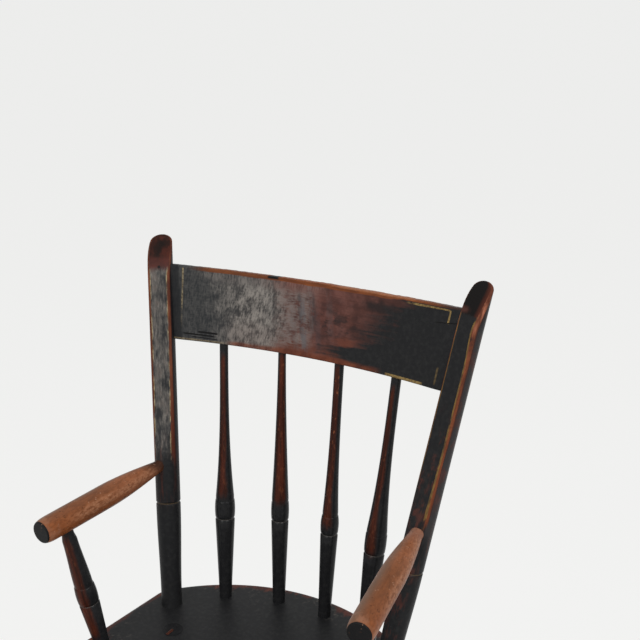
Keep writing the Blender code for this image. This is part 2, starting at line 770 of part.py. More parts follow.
def make_nail(side, y, board, rung, parent):
    name = SIDE_NAMES[side] + "_footrest_nail"
    shank, head = NAIL_DIAMETER / 2, NAIL_HEAD_DIAMETER / 2
    seat = FOOTREST_HEIGHT + FIT
    tip = Vector((side * FOOTREST_NAIL_SPACING / 2, y, seat - NAIL_LENGTH))
    profile = [
        (0, 0),
        (shank / 2, 0),
        (shank, 2 * NAIL_DIAMETER),
        (shank, NAIL_LENGTH),
        (head, NAIL_LENGTH),
        (NAIL_HEAD_TOP_DIAMETER / 2, NAIL_LENGTH + NAIL_HEAD_THICKNESS),
        (0, NAIL_LENGTH + NAIL_HEAD_THICKNESS),
    ]
    nail = turned(name, profile, Matrix.Translation(tip), NAIL_STEPS, parent=parent)
    finish(nail, OLD_IRON, 0.6, 1.0)
    low = tip - Vector((0, 0, FIT))
    high = tip + Vector((0, 0, NAIL_LENGTH + CUT_SPACE))
    hole = rod(name + "_cutter", low, high, NAIL_DIAMETER + 2 * FIT, NAIL_STEPS)
    cut(board, hole)
    cut(rung, hole)


def crest_shape(name, grow, cutter, parent):
    """The bent board: its bend seen from above, kept only inside its outline seen from the front."""
    span = post_x(CREST_BOTTOM + CREST_HEIGHT) + 2 * POST_DIAMETER
    front, back = crest_faces()
    stations = [span * (2 * step / BEND_STEPS - 1) for step in range(BEND_STEPS + 1)]
    bend = [(x, arc_y(front, x) - grow) for x in stations]
    bend += [(x, arc_y(back, x) + grow) for x in reversed(stations)]
    middle = CREST_BOTTOM + CREST_HEIGHT / 2
    lift = Matrix.Translation((0, 0, middle))
    board = plate(name, bend, CREST_HEIGHT + CUT_SPACE, lift, cutter, parent)
    top = CREST_BOTTOM + CREST_HEIGHT + grow
    low = CREST_BOTTOM - grow
    low_x = post_x(low) - CREST_SHORT_OF_AXIS + grow
    top_x = post_x(top) - CREST_SHORT_OF_AXIS + grow
    edge_stations = [low_x * (2 * step / BEND_STEPS - 1) for step in range(BEND_STEPS + 1)]
    outline = [(top_x, top), (-top_x, top)]
    outline += [(x, crest_bottom(x) - grow) for x in edge_stations]
    facing = Matrix.Rotation(math.radians(90), 4, "X")
    depth = 2 * (CREST_BOW + CREST_THICKNESS + CUT_SPACE)
    cut(board, plate(name + "_outline_cutter", outline, depth, facing, True, parent), "INTERSECT")
    return board


def make_back(plane):
    """The two posts, the crest between them and the pins that lock it."""
    crest = crest_shape("crest_rail", 0, False, plane)
    soften(crest, CREST_EDGE)
    finish(crest, BLACK_PAINT, 0.35)
    mortise = crest_shape("crest_mortise_cutter", FIT, True, plane)
    posts = {}
    for side in (LEFT, RIGHT):
        posts[side] = make_post(side, mortise, plane)
        make_crest_pin(side, posts[side], crest, plane)
    return posts, crest


def flat_outline():
    """What is shaved off the front of a post, in its depth and height: a scoop, a flat and a thumb."""
    full = POST_DIAMETER / 2
    scale = 1 / math.cos(POST_SPLAY)
    face = []
    for step in range(CURVE_STEPS + 1):
        share = 1 - step / CURVE_STEPS
        height = FLAT_FULL + (FLAT_START - FLAT_FULL) * share
        face.append((-FLAT_OFFSET - (full - FLAT_OFFSET) * share**FLAT_POWER, height * scale))
    for step in range(CURVE_STEPS + 2):
        share = step / CURVE_STEPS
        height = THUMB_START + (THUMB_TOP - THUMB_START) * share
        face.append((-FLAT_OFFSET + THUMB_CURVE * share**THUMB_POWER, height * scale))
    far = -2 * POST_DIAMETER
    return [(far, face[0][1]), *face, (far, face[-1][1])]


def make_post(side, mortise, plane):
    """Turned to a round tip, then shaved in front, with the flat turned to line up with the crest."""
    name = SIDE_NAMES[side] + "_back_post"
    turn = crest_end_turn()
    foot = Vector((side * post_x(0), 0, 0))
    tip = Vector((side * post_x(THUMB_TOP), 0, THUMB_TOP))
    back = Vector((side * math.sin(turn), math.cos(turn), 0))
    frame = axis_frame(foot, tip, back)
    post = turned(name, post_profile(side), frame, POST_STEPS, parent=plane)
    sideways = Matrix(((0, 0, 1, 0), (1, 0, 0, 0), (0, 1, 0, 0), (0, 0, 0, 1)))
    width = 4 * POST_DIAMETER
    shaving = plate(name + "_flat_cutter", flat_outline(), width, frame @ sideways, True, plane)
    cut(post, shaving)
    cut(post, mortise)
    finish(post, BLACK_PAINT)
    return post


def make_crest_pin(side, post, crest, plane):
    name = SIDE_NAMES[side] + "_crest_pin"
    height = CREST_BOTTOM + CREST_HEIGHT / 2
    x = side * (post_x(height) - CREST_PIN_INSET)
    surface = math.sqrt((POST_DIAMETER / 2) ** 2 - CREST_PIN_INSET**2)
    outer = Vector((x, surface + FIT, height))
    inner = Vector((x, surface - CREST_PIN_DEPTH, height))
    pin = rod(name, inner, outer, CREST_PIN_DIAMETER, PIN_STEPS, False, plane)
    finish(pin, WORN_PAINT)
    hole = rod(
        name + "_cutter",
        inner - Vector((0, FIT, 0)),
        outer + Vector((0, CUT_SPACE, 0)),
        CREST_PIN_DIAMETER + 2 * FIT,
        PIN_STEPS,
        True,
        plane,
    )
    cut(post, hole)
    cut(crest, hole)


def make_post_sockets(seat, plane):
    for side in (LEFT, RIGHT):
        foot = Vector((side * post_x(0), 0, 0))
        along = (Vector((side * post_x(THUMB_TOP), 0, THUMB_TOP)) - foot).normalized()
        socket = rod(
            SIDE_NAMES[side] + "_post_socket_cutter",
            foot - along * (POST_TENON_DEPTH + FIT),
            foot + along * CUT_SPACE,
            POST_FOOT_DIAMETER + 2 * FIT,
            POST_STEPS,
            True,
            plane,
        )
        cut(seat, socket)


def make_spindles(seat, crest, parent):
    for index, turning in enumerate(SPINDLE_TURNINGS):
        name = f"spindle_{index + 1}"
        foot, top = spindle_axis(index - (len(SPINDLE_TURNINGS) - 1) / 2)
        along = (top - foot).normalized()
        profile = spindle_profile((top - foot).length, turning)
        spindle = turned(name, profile, axis_frame(foot, top), SPINDLE_STEPS, parent=parent)
        finish(spindle, WORN_PAINT)
        socket = rod(
            name + "_socket_cutter",
            foot - along * (SPINDLE_SOCKET_DEPTH + FIT),
            foot + along * CUT_SPACE,
            SPINDLE_FOOT_DIAMETER + 2 * FIT,
            SPINDLE_STEPS,
        )
        cut(seat, socket)
        mortise = rod(
            name + "_mortise_cutter",
            top - along * CUT_SPACE,
            top + along * (SPINDLE_TENON_DEPTH + FIT),
            SPINDLE_TENON_DIAMETER + 2 * FIT,
            SPINDLE_STEPS,
        )
        cut(crest, mortise)


def make_arms(seat, posts, parent):
    for side in (LEFT, RIGHT):
        name = SIDE_NAMES[side] + "_arm"
        joint, end = arm_axis(side)
        along = (end - joint).normalized()
        arm = turned(name, arm_profile(), axis_frame(joint, end), ARM_STEPS, parent=parent)
        finish(arm, BARE_WOOD, 0.5)
        mortise = rod(
            name + "_mortise_cutter",
            joint - along * (ARM_TENON_PAST_AXIS + FIT),
            joint + along * CUT_SPACE,
            ARM_TENON_DIAMETER + 2 * FIT,
            ARM_STEPS,
        )
        cut(posts[side], mortise)
        make_arm_support(side, arm, seat, parent)


def make_arm_support(side, arm, seat, parent):
    name = SIDE_NAMES[side] + "_arm_support"
    foot, top = support_axis(side)
    along = (top - foot).normalized()
    profile = support_profile((top - foot).length)
    support = turned(name, profile, axis_frame(foot, top), SPINDLE_STEPS, parent=parent)
    finish(support, WORN_PAINT)
    mortise = rod(
        name + "_mortise_cutter",
        foot + along * CUT_SPACE,
        top - along * (SUPPORT_SHORT_OF_AXIS - FIT),
        SUPPORT_TENON_DIAMETER + 2 * FIT,
        SPINDLE_STEPS,
    )
    cut(arm, mortise)
    socket = rod(
        name + "_socket_cutter",
        foot - along * (SUPPORT_SOCKET_DEPTH + FIT),
        foot + along * CUT_SPACE,
        SUPPORT_FOOT_DIAMETER + 2 * FIT,
        SPINDLE_STEPS,
    )
    cut(seat, socket)


def main():
    clear_scene()
    new_collection("high_chair")
    new_collection("high_chair_cutters")
    chair = new_empty("chair", Matrix.Identity(4))
    plane = new_empty("back_plane", back_matrix(), chair)
    seat = make_seat(chair)
    dish = make_dish()
    cut(seat, dish)
    trims = make_trims(dish)
    legs = {}
    for front in (True, False):
        for side in (LEFT, RIGHT):
            legs[front, side] = make_leg(front, side, chair, seat, trims)
    make_stretchers(legs, chair)
    make_footrest(legs, chair)
    posts, crest = make_back(plane)
    make_post_sockets(seat, plane)
    make_spindles(seat, crest, chair)
    make_arms(seat, posts, chair)


main()
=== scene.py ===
"""Looks of the thumb-back high chair: finely turned pieces in old black paint, worn edges, gold lines.

Metres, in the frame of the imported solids: +Z up, the chair faces -Y, left is -X. Each piece keeps the sizes
of the solid that it stands for, with a finer surface. Only the spindles' tapers are a little fuller, and the
crest's top edge is worn down towards its left end.
"""

import math

import bpy
import numpy as np
from mathutils import Matrix, Vector, noise


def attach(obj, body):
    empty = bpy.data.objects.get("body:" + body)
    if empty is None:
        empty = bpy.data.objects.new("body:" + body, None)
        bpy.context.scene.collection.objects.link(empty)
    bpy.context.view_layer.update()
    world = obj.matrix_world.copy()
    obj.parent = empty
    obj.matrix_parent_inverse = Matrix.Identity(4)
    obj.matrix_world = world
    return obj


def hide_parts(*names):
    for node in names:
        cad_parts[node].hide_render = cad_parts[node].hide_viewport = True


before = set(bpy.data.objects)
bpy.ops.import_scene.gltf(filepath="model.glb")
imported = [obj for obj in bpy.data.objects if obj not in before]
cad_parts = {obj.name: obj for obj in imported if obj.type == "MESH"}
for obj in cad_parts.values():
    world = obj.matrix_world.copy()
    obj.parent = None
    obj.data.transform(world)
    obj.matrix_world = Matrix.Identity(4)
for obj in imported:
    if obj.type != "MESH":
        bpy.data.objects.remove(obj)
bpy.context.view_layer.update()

LEFT, RIGHT = -1, 1
SIDE_NAMES = {LEFT: "left", RIGHT: "right"}
CORNERS = ((-1, -1), (1, -1), (1, 1), (-1, 1))  # of a rectangle, counter-clockwise

# Camera, from the photograph's perspective
CAMERA_PLACE = (0.4858, -0.6894, 1.1612)
CAMERA_DOWN = math.radians(18.293)
CAMERA_TURN = math.radians(29.013)
CAMERA_LENS = 61.68
CAMERA_SENSOR = 36.0

# Stance
SEAT_HEIGHT = 0.533
FRONT_FOOT_SPREAD = 0.392
REAR_FOOT_SPREAD = 0.372
FOOT_DEPTH = 0.398
FIT = 0.0003  # clearance of a joint

# Seat
SEAT_THICKNESS = 0.034
SEAT_FRONT_WIDTH = 0.342
SEAT_FRONT_REACH = 0.128
SEAT_FRONT_BOW = 0.010
SEAT_FRONT_CORNER = 0.048
SEAT_BACK_CORNER = 0.022
SEAT_MARGIN = 0.026
SEAT_BACK_ANGLE = math.radians(50)
SEAT_EDGE = 0.007
DISH_WIDTH = 0.256
DISH_LENGTH = 0.196
DISH_DEPTH = 0.009
DISH_POWER = 1.4
DISH_FROM_POSTS = 0.178
SAT_ON_SIZE = 1.15  # of the worn patch, as a share of the dish
SAT_ON_AHEAD = 0.02  # of the dish's middle
SAT_ON_WEAR = 0.75
FRONT_RUB_FROM = 0.07  # in front of the frame's middle
FRONT_RUB_REACH = 0.06
FRONT_RUB_WEAR = 0.7

# Legs
LEG_DIAMETER = 0.0296
LEG_WAIST_DIAMETER = 0.0250
LEG_FOOT_DIAMETER = 0.0205
LEG_TENON_DIAMETER = 0.0200
LEG_UPPER_RING = 0.132
LEG_LOWER_RING = 0.252
LEG_NECK = 0.017
FRONT_LEG_INSET = 0.059
FRONT_LEG_SETBACK = 0.060
REAR_LEG_INSET = 0.029
REAR_LEG_AHEAD = 0.038
WEDGE_THICKNESS = 0.0032
WEDGE_SOFT_SHARE = 0.9  # of its thickness that is flat on top

# Stretchers and footrest
SIDE_STRETCHER_HEIGHT = 0.208
FRONT_STRETCHER_HEIGHT = 0.150
REAR_STRETCHER_HEIGHT = 0.166
STRETCHER_DIAMETER = 0.0205
STRETCHER_TENON_DIAMETER = 0.0120
FOOTREST_HEIGHT = 0.300
FOOTREST_THICKNESS = 0.014
FOOTREST_DEPTH = 0.080
FOOTREST_BEHIND_RUNG = 0.012
FOOTREST_PAST_LEG = 0.006
FOOTREST_CORNER = 0.022
FOOTREST_EDGE = 0.003
FOOTREST_TREAD = 0.085  # reach of the worn part from the middle
FOOTREST_RUNG_DIAMETER = 0.018
FOOTREST_RUNG_HEIGHT = FOOTREST_HEIGHT - FOOTREST_THICKNESS - FIT - FOOTREST_RUNG_DIAMETER / 2
FOOTREST_NAIL_SPACING = 0.130
FOOTREST_NOTCH_SPACE = 0.0016
NAIL_HEAD_DIAMETER = 0.0064
NAIL_HEAD_THICKNESS = 0.0012
NAIL_SHANK_SHARE = 0.5  # of the head's radius
NAIL_DOME = (0.25, 0.5, 0.75, 0.95)  # heights of its rings, as shares of the thickness

# Back: heights run up the raked plane of the posts, from the seat's top
POST_SPACING = 0.2412
POST_LINE = 0.091
BACK_RAKE = math.radians(11.25)
POST_SPLAY = math.radians(7.65)
POST_SCALE = 1 / math.cos(POST_SPLAY)  # length along a post for height
POST_DIAMETER = 0.0246
POST_TOP_SHARES = {LEFT: 1.028, RIGHT: 0.955}
POST_FOOT_DIAMETER = 0.0208
POST_RING = 0.105
THUMB_TOP = 0.3755
THUMB_ROUND = 0.009
THUMB_START = 0.328
THUMB_CURVE = 0.0160
THUMB_POWER = 1.85
THUMB_THINNEST = 0.0002
FLAT_START = 0.155
FLAT_FULL = 0.275
FLAT_POWER = 4.0
FLAT_OFFSET = 0.0066
CREST_BOTTOM = 0.2715
CREST_HEIGHT = 0.0758
CREST_TOP = CREST_BOTTOM + CREST_HEIGHT
CREST_MIDDLE = CREST_BOTTOM + CREST_HEIGHT / 2
CREST_ARCH = 0.003
CREST_BOW = 0.0224
CREST_THICKNESS = 0.0125
CREST_END_THICKNESS = 0.0085
CREST_SETBACK = 0.0025
CREST_HIDDEN_END = 0.0090  # from the post's axis to the end of what shows
CREST_EASE = 0.0018  # how far the front goes back beside a post, to stay behind its thumb
CREST_EASE_FROM = 0.0260  # from the post's axis to where it starts to
CREST_TUCK = 0.0040  # how far the end goes back inside the post
CREST_TUCK_INSIDE = 0.0006  # where it starts to, inside the post's round
CREST_EDGE = 0.0014
CREST_LIP = ((0.0004, 55, (0, 3)), (0.0003, 210, (1, 0)))  # top's waves: height, pace, place in the noise
CREST_WORN_END = 0.0015  # how far the top edge is worn down at the left end
CREST_WORN_FROM = -0.010  # where that wear starts
CREST_WORN_POWER = 1.5
CREST_PIN_DIAMETER = 0.005
CREST_PIN_INSET = 0.0055
CREST_PIN_DOME = ((1, 0), (0.9, 1), (0.5, 2))  # its end, as shares of its radius and of PROUD

# Spindles, left to right: shares of the bead's diameter and height, the power of the taper, the share of
# the bead's radius where the taper starts and that of the top's radius where it ends
SPINDLE_BEAD_DIAMETER = 0.0195
SPINDLE_BEAD_HEIGHT = 0.100
SPINDLE_TURNINGS = (
    (1.051, 0.955, 3.20, 0.946, 1.06),
    (0.933, 1.000, 1.65, 0.957, 0.95),
    (0.928, 1.000, 3.05, 0.888, 1.14),
    (1.067, 1.020, 3.05, 0.979, 1.17),
)
# Their rubbed streaks: degrees from the front, half width in degrees, lowest, highest, strength, chips
SPINDLE_LOOKS = (
    (17, 32, 0.118, 0.250, 0.82, 0.0),
    (27, 42, 0.118, 0.259, 0.92, 0.1),
    (3, 34, 0.106, 0.259, 0.88, 0.6),
    (-4, 25, 0.100, 0.253, 0.95, 0.0),
)
SPINDLE_TOP_SPACING = 0.0629
SPINDLE_SEAT_SPACING = 0.0532
SPINDLE_ARC_RADIUS = 0.165
SPINDLE_BOW = 0.0584
SPINDLE_TOP_DIAMETER = 0.0080
SPINDLE_FOOT_DIAMETER = 0.0126
SPINDLE_CREASE = 0.0004  # small step over the bead

# Arms
ARM_HEIGHT = 0.1457
ARM_LENGTH = 0.1637
ARM_SPLAY = math.radians(7.4)
ARM_FALL = math.radians(2.8)
ARM_DIAMETER = 0.0238
ARM_FULL_FROM = 0.088
ARM_END_DIAMETER = 0.0190
ARM_END_RINGS = (0.9, 0.7, 0.45, 0.2)  # on the flat end, as shares of its radius
ARM_END_PAINT = 0.0012  # how far the end's paint comes round
ARM_TENON_DIAMETER = 0.0124
SUPPORT_FROM_END = 0.027
SUPPORT_LEAN = 0.016
SUPPORT_INSET = 0.022
SUPPORT_DIAMETER = 0.0205
SUPPORT_BEAD = 0.42
SUPPORT_NECK_DIAMETER = 0.0140
SUPPORT_FOOT_DIAMETER = 0.0150
SUPPORT_TENON_DIAMETER = 0.0116

# Rings and beads of all the turnings
RING_WIDTH = 0.0032
RING_DEPTH = 0.0009
RING_CUT = ((-0.5, 0), (-0.25, 0.55), (0, 1), (0.25, 0.55), (0.5, 0))  # shares of its width and depth
BEAD_HALF_HEIGHT = 0.0095
BEAD_SHOULDER = 0.96
BEAD_SHRINK = 0.93
BEAD_STEP = 0.0006  # small shoulder over a bead
WAVER = 0.004  # how far a turning is out of round

# Fineness of the meshes
AROUND = 64  # points round a turning
POST_AROUND = 144
POST_STATION = 0.0022  # between rings along a post
POST_GROOVE_POINTS = 13
POST_TIP_POINTS = 26
POST_SEARCH_POINTS = 4000  # to find where the thumb ends
CREST_STATION = 0.0009
CREST_FRONT_POINTS = 92
CREST_BACK_POINTS = 44
CREST_UNDER_SHARES = (0.25, 0.5, 0.75)  # of the thickness
CREST_OVER_SHARES = (0.85, 0.7, 0.55, 0.4, 0.25, 0.15)
OUTLINE_POINTS = 260
BOARD_SHARES = np.linspace(0.04, 1, 26)  # rings of a board's faces, from the middle out
BOARD_EDGE_POWER = 6  # how closely its edge's wear keeps to the edge
SEAT_BACK_POINTS = 48
FIT_PASSES = 4  # to bring a ring to a surface
NOTCH_POINTS = 24
WAVES = 12  # points along a smooth half wave
ROUND_POINTS = 6  # points round an edge
BURIED = 0.006  # how far a piece runs on inside what holds it
PROUD = 0.0003  # ends of tenons, wedges and pins over the wood round them
SOFT_CORNER = 22  # power that rounds the corner between a post's flat and its round
SMOOTH_ANGLE = math.radians(40)


# Placing


def axis_frame(start, end, back=None):
    """A matrix at start whose Z runs to end and whose Y leans towards back, or else back or up."""
    along = (end - start).normalized()
    if back is None:
        back = Vector((0, 0, 1)) if abs(along.y) > abs(along.z) else Vector((0, 1, 0))
    depth = (back - back.dot(along) * along).normalized()
    across = depth.cross(along)
    return Matrix.Translation(start) @ Matrix((across, depth, along)).transposed().to_4x4()


def back_matrix():
    """The raked plane of the posts: X across, Z up the back, Y behind it."""
    lift = Matrix.Translation((0, POST_LINE, SEAT_HEIGHT))
    return lift @ Matrix.Rotation(-BACK_RAKE, 4, "X")


def post_x(height):
    return POST_SPACING / 2 + height * math.tan(POST_SPLAY)


def seat_back_point(angle):
    radius = SPINDLE_ARC_RADIUS + SEAT_MARGIN
    middle = POST_LINE + SPINDLE_BOW - SPINDLE_ARC_RADIUS
    return radius * math.sin(angle), middle + radius * math.cos(angle)


def seat_side_x(y):
    back_x, back_y = seat_back_point(SEAT_BACK_ANGLE)
    front_x, front_y = SEAT_FRONT_WIDTH / 2, SEAT_FRONT_BOW - SEAT_FRONT_REACH
    return front_x + (back_x - front_x) * (y - front_y) / (back_y - front_y)


def dish_share(x, y):
    """0 at the middle of the seat's dish, 1 at its rim."""
    across = x / (DISH_WIDTH / 2)
    along = (y - POST_LINE + DISH_FROM_POSTS) / (DISH_LENGTH / 2)
    return np.sqrt(across**2 + along**2)


def seat_top(x, y):
    rim = np.clip(1 - dish_share(x, y) ** 2, 0, 1)
    return SEAT_HEIGHT - DISH_DEPTH * rim**DISH_POWER


def leg_ends(front, side):
    if front:
        foot = Vector((side * FRONT_FOOT_SPREAD / 2, -FOOT_DEPTH / 2, 0))
        y = FRONT_LEG_SETBACK - SEAT_FRONT_REACH
        x = seat_side_x(y) - FRONT_LEG_INSET
    else:
        foot = Vector((side * REAR_FOOT_SPREAD / 2, FOOT_DEPTH / 2, 0))
        y = POST_LINE - REAR_LEG_AHEAD
        x = POST_SPACING / 2 - REAR_LEG_INSET
    return foot, Vector((side * x, y, SEAT_HEIGHT))


def leg_at(front, side, height):
    foot, top = leg_ends(front, side)
    return foot.lerp(top, height / SEAT_HEIGHT)


def crest_end_turn():
    return 2 * math.atan(CREST_BOW / post_x(CREST_MIDDLE))


def crest_faces():
    """The bend of the crest's front and back: for each, its radius and its y at the middle."""
    span = post_x(CREST_MIDDLE)
    turn = crest_end_turn()
    front_end = -(FLAT_OFFSET - CREST_SETBACK) / math.cos(turn)
    front_middle = front_end + CREST_BOW
    front_radius = (span**2 + CREST_BOW**2) / (2 * CREST_BOW)
    back_middle = front_middle + CREST_THICKNESS
    back_bow = back_middle - front_end - CREST_END_THICKNESS / math.cos(turn)
    back_radius = (span**2 + back_bow**2) / (2 * back_bow)
    return (front_radius, front_middle), (back_radius, back_middle)


def arc_y(face, x):
    radius, middle = face
    return middle - radius + np.sqrt(radius**2 - x**2)


def crest_bottom(x):
    return CREST_BOTTOM + CREST_ARCH * (1 - (x / post_x(CREST_BOTTOM)) ** 2)


def arm_axis(side):
    joint = back_matrix() @ Vector((side * post_x(ARM_HEIGHT), 0, ARM_HEIGHT))
    level = math.cos(ARM_FALL)
    way = Vector((side * level * math.sin(ARM_SPLAY), -level * math.cos(ARM_SPLAY), -math.sin(ARM_FALL)))
    return joint, joint + ARM_LENGTH * way


def support_axis(side):
    joint, end = arm_axis(side)
    top = end.lerp(joint, SUPPORT_FROM_END / ARM_LENGTH)
    y = top.y + SUPPORT_LEAN
    return Vector((side * (seat_side_x(y) - SUPPORT_INSET), y, SEAT_HEIGHT)), top


def spindle_axis(place):
    x = SPINDLE_SEAT_SPACING * place
    drop = SPINDLE_ARC_RADIUS - math.sqrt(SPINDLE_ARC_RADIUS**2 - x**2)
    foot = Vector((x, POST_LINE + SPINDLE_BOW - drop, SEAT_HEIGHT))
    top_x = SPINDLE_TOP_SPACING * place
    front, back = crest_faces()
    middle = (arc_y(front, top_x) + arc_y(back, top_x)) / 2
    return foot, back_matrix() @ Vector((top_x, middle, crest_bottom(top_x)))


# Meshes


def add_object(name, data):
    thing = bpy.data.objects.new(name, data)
    bpy.context.scene.collection.objects.link(thing)
    return thing


def skin(node, rings, matrix, material, values):
    """A closed skin over rings of points, counter-clockwise seen from the last, which stands for a node.

    The values, by name, are numbers for the rings or their points that the material reads.
    """
    rings = np.asarray(rings, float)
    count, around = rings.shape[:2]
    centres = np.stack([rings[0].mean(0), rings[-1].mean(0)])
    points = np.concatenate([rings.reshape(-1, 3), centres])
    this = np.arange(count * around).reshape(count, around)
    after = np.roll(this, -1, axis=1)
    walls = np.stack([this[:-1], after[:-1], after[1:], this[1:]], axis=-1).reshape(-1, 4)
    bottom, top = count * around, count * around + 1
    caps = [(bottom, k, j) for j, k in zip(this[0].tolist(), after[0].tolist())]
    caps += [(top, j, k) for j, k in zip(this[-1].tolist(), after[-1].tolist())]
    mesh = bpy.data.meshes.new(node)
    mesh.from_pydata(points.tolist(), [], walls.tolist() + caps)
    mesh.shade_smooth()
    mesh.set_sharp_from_angle(angle=SMOOTH_ANGLE)
    for name, value in values.items():
        value = np.broadcast_to(value, (count, around))
        ends = [value[0].mean(), value[-1].mean()]
        attribute = mesh.attributes.new(name, "FLOAT", "POINT")
        attribute.data.foreach_set("value", np.append(value.ravel(), ends).astype(np.float32))
    piece = add_object(node + "_piece", mesh)
    piece.matrix_world = matrix
    mesh.materials.append(material)
    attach(piece, "root")
    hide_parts(node)


def turned_rings(profile, seed=0):
    """Rings of a hand turning, a little out of round, from (radius, height) points."""
    angles = np.linspace(0, 2 * math.pi, AROUND, endpoint=False)
    rings = []
    for radius, height in profile:
        phase = seed + 9 * height
        uneven = 1 + WAVER * np.sin(2 * angles + phase) + WAVER / 2 * np.sin(3 * angles - 2 * phase)
        across = radius * uneven * np.cos(angles)
        depth = radius * uneven * np.sin(angles)
        rings.append(np.stack([across, depth, np.full(AROUND, height)], axis=-1))
    return np.array(rings)


def turning_values(profile):
    """For each ring, 1 at the bottom of a V cut, and its radius as a share of the largest."""
    radii = np.array([radius for radius, height in profile])
    least = 0.4 * RING_DEPTH  # that counts as a cut
    marks = np.zeros(len(radii))
    marks[1:-1] = (radii[1:-1] < radii[:-2] - least) & (radii[1:-1] < radii[2:] - least)
    return {"groove": marks[:, None], "swelling": (radii / radii.max())[:, None]}


def turned(node, profile, matrix, material, seed=0):
    skin(node, turned_rings(profile, seed), matrix, material, turning_values(profile))


def filleted(corners, steps=14):
    """The closed outline through (x, y, radius) corners, each rounded by an arc of its radius."""
    outline = []
    for i, (x, y, radius) in enumerate(corners):
        here = Vector((x, y))
        if radius == 0:
            outline.append(tuple(here))
            continue
        before = (Vector(corners[i - 1][:2]) - here).normalized()
        after = (Vector(corners[(i + 1) % len(corners)][:2]) - here).normalized()
        half_angle = before.angle(after) / 2
        centre = here + (before + after).normalized() * radius / math.sin(half_angle)
        first = here + before * radius / math.tan(half_angle) - centre
        last = here + after * radius / math.tan(half_angle) - centre
        turn = first.angle_signed(last)
        for step in range(steps + 1):
            spoke = Matrix.Rotation(-turn * step / steps, 2) @ first
            outline.append(tuple(centre + spoke))
    return outline


def even_outline(outline):
    """The outline as evenly spaced points."""
    loop = np.array(outline + outline[:1])
    lengths = np.append(0, np.cumsum(np.hypot(*np.diff(loop, axis=0).T)))
    places = np.linspace(0, lengths[-1], OUTLINE_POINTS, endpoint=False)
    return np.stack([np.interp(places, lengths, loop[:, i]) for i in (0, 1)], axis=-1)


def inset(outline, distance):
    """The counter-clockwise outline moved inwards."""
    tangent = np.roll(outline, -1, axis=0) - np.roll(outline, 1, axis=0)
    tangent /= np.linalg.norm(tangent, axis=1, keepdims=True)
    return outline + distance * np.stack([-tangent[:, 1], tangent[:, 0]], axis=-1)


def board_rings(outline, low, top_of, edge, centre):
    """Rings over a flat board with rounded edges, from the middle of its underside to that of its top.

    Returns the rings and, for each, how near it is to the board's edge.
    """
    rings, nearness = [], []

    def add(loop, height, near):
        rings.append(np.column_stack([loop, np.broadcast_to(height, len(loop))]))
        nearness.append(near)

    inner = inset(outline, edge)
    faces = [(centre + share * (inner - centre), share**BOARD_EDGE_POWER) for share in BOARD_SHARES]
    turns = np.linspace(0, math.pi / 2, ROUND_POINTS + 1)[1:]
    rounds = [(inset(outline, edge * (1 - math.sin(a))), edge * (1 - math.cos(a))) for a in turns]
    top = top_of(*outline.T)
    for loop, near in faces:
        add(loop, low, near)
    for loop, rise in rounds:
        add(loop, low + rise, 1)
    for loop, rise in reversed(rounds):
        add(loop, top - rise, 1)
    for loop, near in reversed(faces):
        add(loop, top_of(*loop.T), near)
    return np.array(rings), np.array(nearness)[:, None]


# Turned profiles, from the bottom up


def swell(profile, radius, height):
    last_radius, last_height = profile[-1]
    for step in range(1, WAVES + 1):
        share = step / WAVES
        ease = (1 - math.cos(math.pi * share)) / 2
        here = last_radius + (radius - last_radius) * ease
        profile.append((here, last_height + (height - last_height) * share))


def score(profile, radius, height):
    for offset, depth in RING_CUT:
        profile.append((radius - depth * RING_DEPTH, height + offset * RING_WIDTH))


def bead(profile, radius, height, shrink=BEAD_SHRINK):
    shoulder = height - BEAD_HALF_HEIGHT - RING_WIDTH / 2
    score(profile, radius * BEAD_SHOULDER, shoulder + RING_WIDTH / 2)
    low = shoulder + RING_WIDTH
    high = height + BEAD_HALF_HEIGHT
    for step in range(1, WAVES + 1):
        share = step / WAVES
        at = low + (high - low) * share
        edge = BEAD_SHOULDER if at < height else shrink
        reach = (height - low) if at < height else (high - height)
        profile.append((radius * (1 - (1 - edge) * ((at - height) / reach) ** 2), at))


def leg_profile(length):
    full, waist, tenon = LEG_DIAMETER / 2, LEG_WAIST_DIAMETER / 2, LEG_TENON_DIAMETER / 2
    upper = length - LEG_UPPER_RING
    profile = [(LEG_FOOT_DIAMETER / 2, 0)]
    swell(profile, full, LEG_LOWER_RING - RING_WIDTH)
    score(profile, full, LEG_LOWER_RING)
    swell(profile, waist, (LEG_LOWER_RING + upper) / 2)
    swell(profile, full, upper - RING_WIDTH)
    score(profile, full, upper)
    swell(profile, tenon, length - SEAT_THICKNESS - LEG_NECK)
    profile.append((tenon, length))
    return profile


def stretcher_profile(length):
    tenon, full = STRETCHER_TENON_DIAMETER / 2, STRETCHER_DIAMETER / 2
    bare, middle = LEG_DIAMETER / 2, length / 2
    profile = [(tenon, BURIED), (tenon, bare)]
    swell(profile, full, middle - BEAD_HALF_HEIGHT - RING_WIDTH)
    score(profile, full, middle - BEAD_HALF_HEIGHT)
    score(profile, full, middle + BEAD_HALF_HEIGHT)
    profile.append((full, middle + BEAD_HALF_HEIGHT + RING_WIDTH))
    swell(profile, tenon, length - bare)
    profile.append((tenon, length - BURIED))
    return profile


def rung_profile(length):
    tenon, full = STRETCHER_TENON_DIAMETER / 2, FOOTREST_RUNG_DIAMETER / 2
    bare, straight = LEG_DIAMETER / 2, 2 * LEG_DIAMETER
    profile = [(tenon, BURIED), (tenon, bare)]
    swell(profile, full, straight)
    profile.append((full, length - straight))
    swell(profile, tenon, length - bare)
    profile.append((tenon, length - BURIED))
    return profile


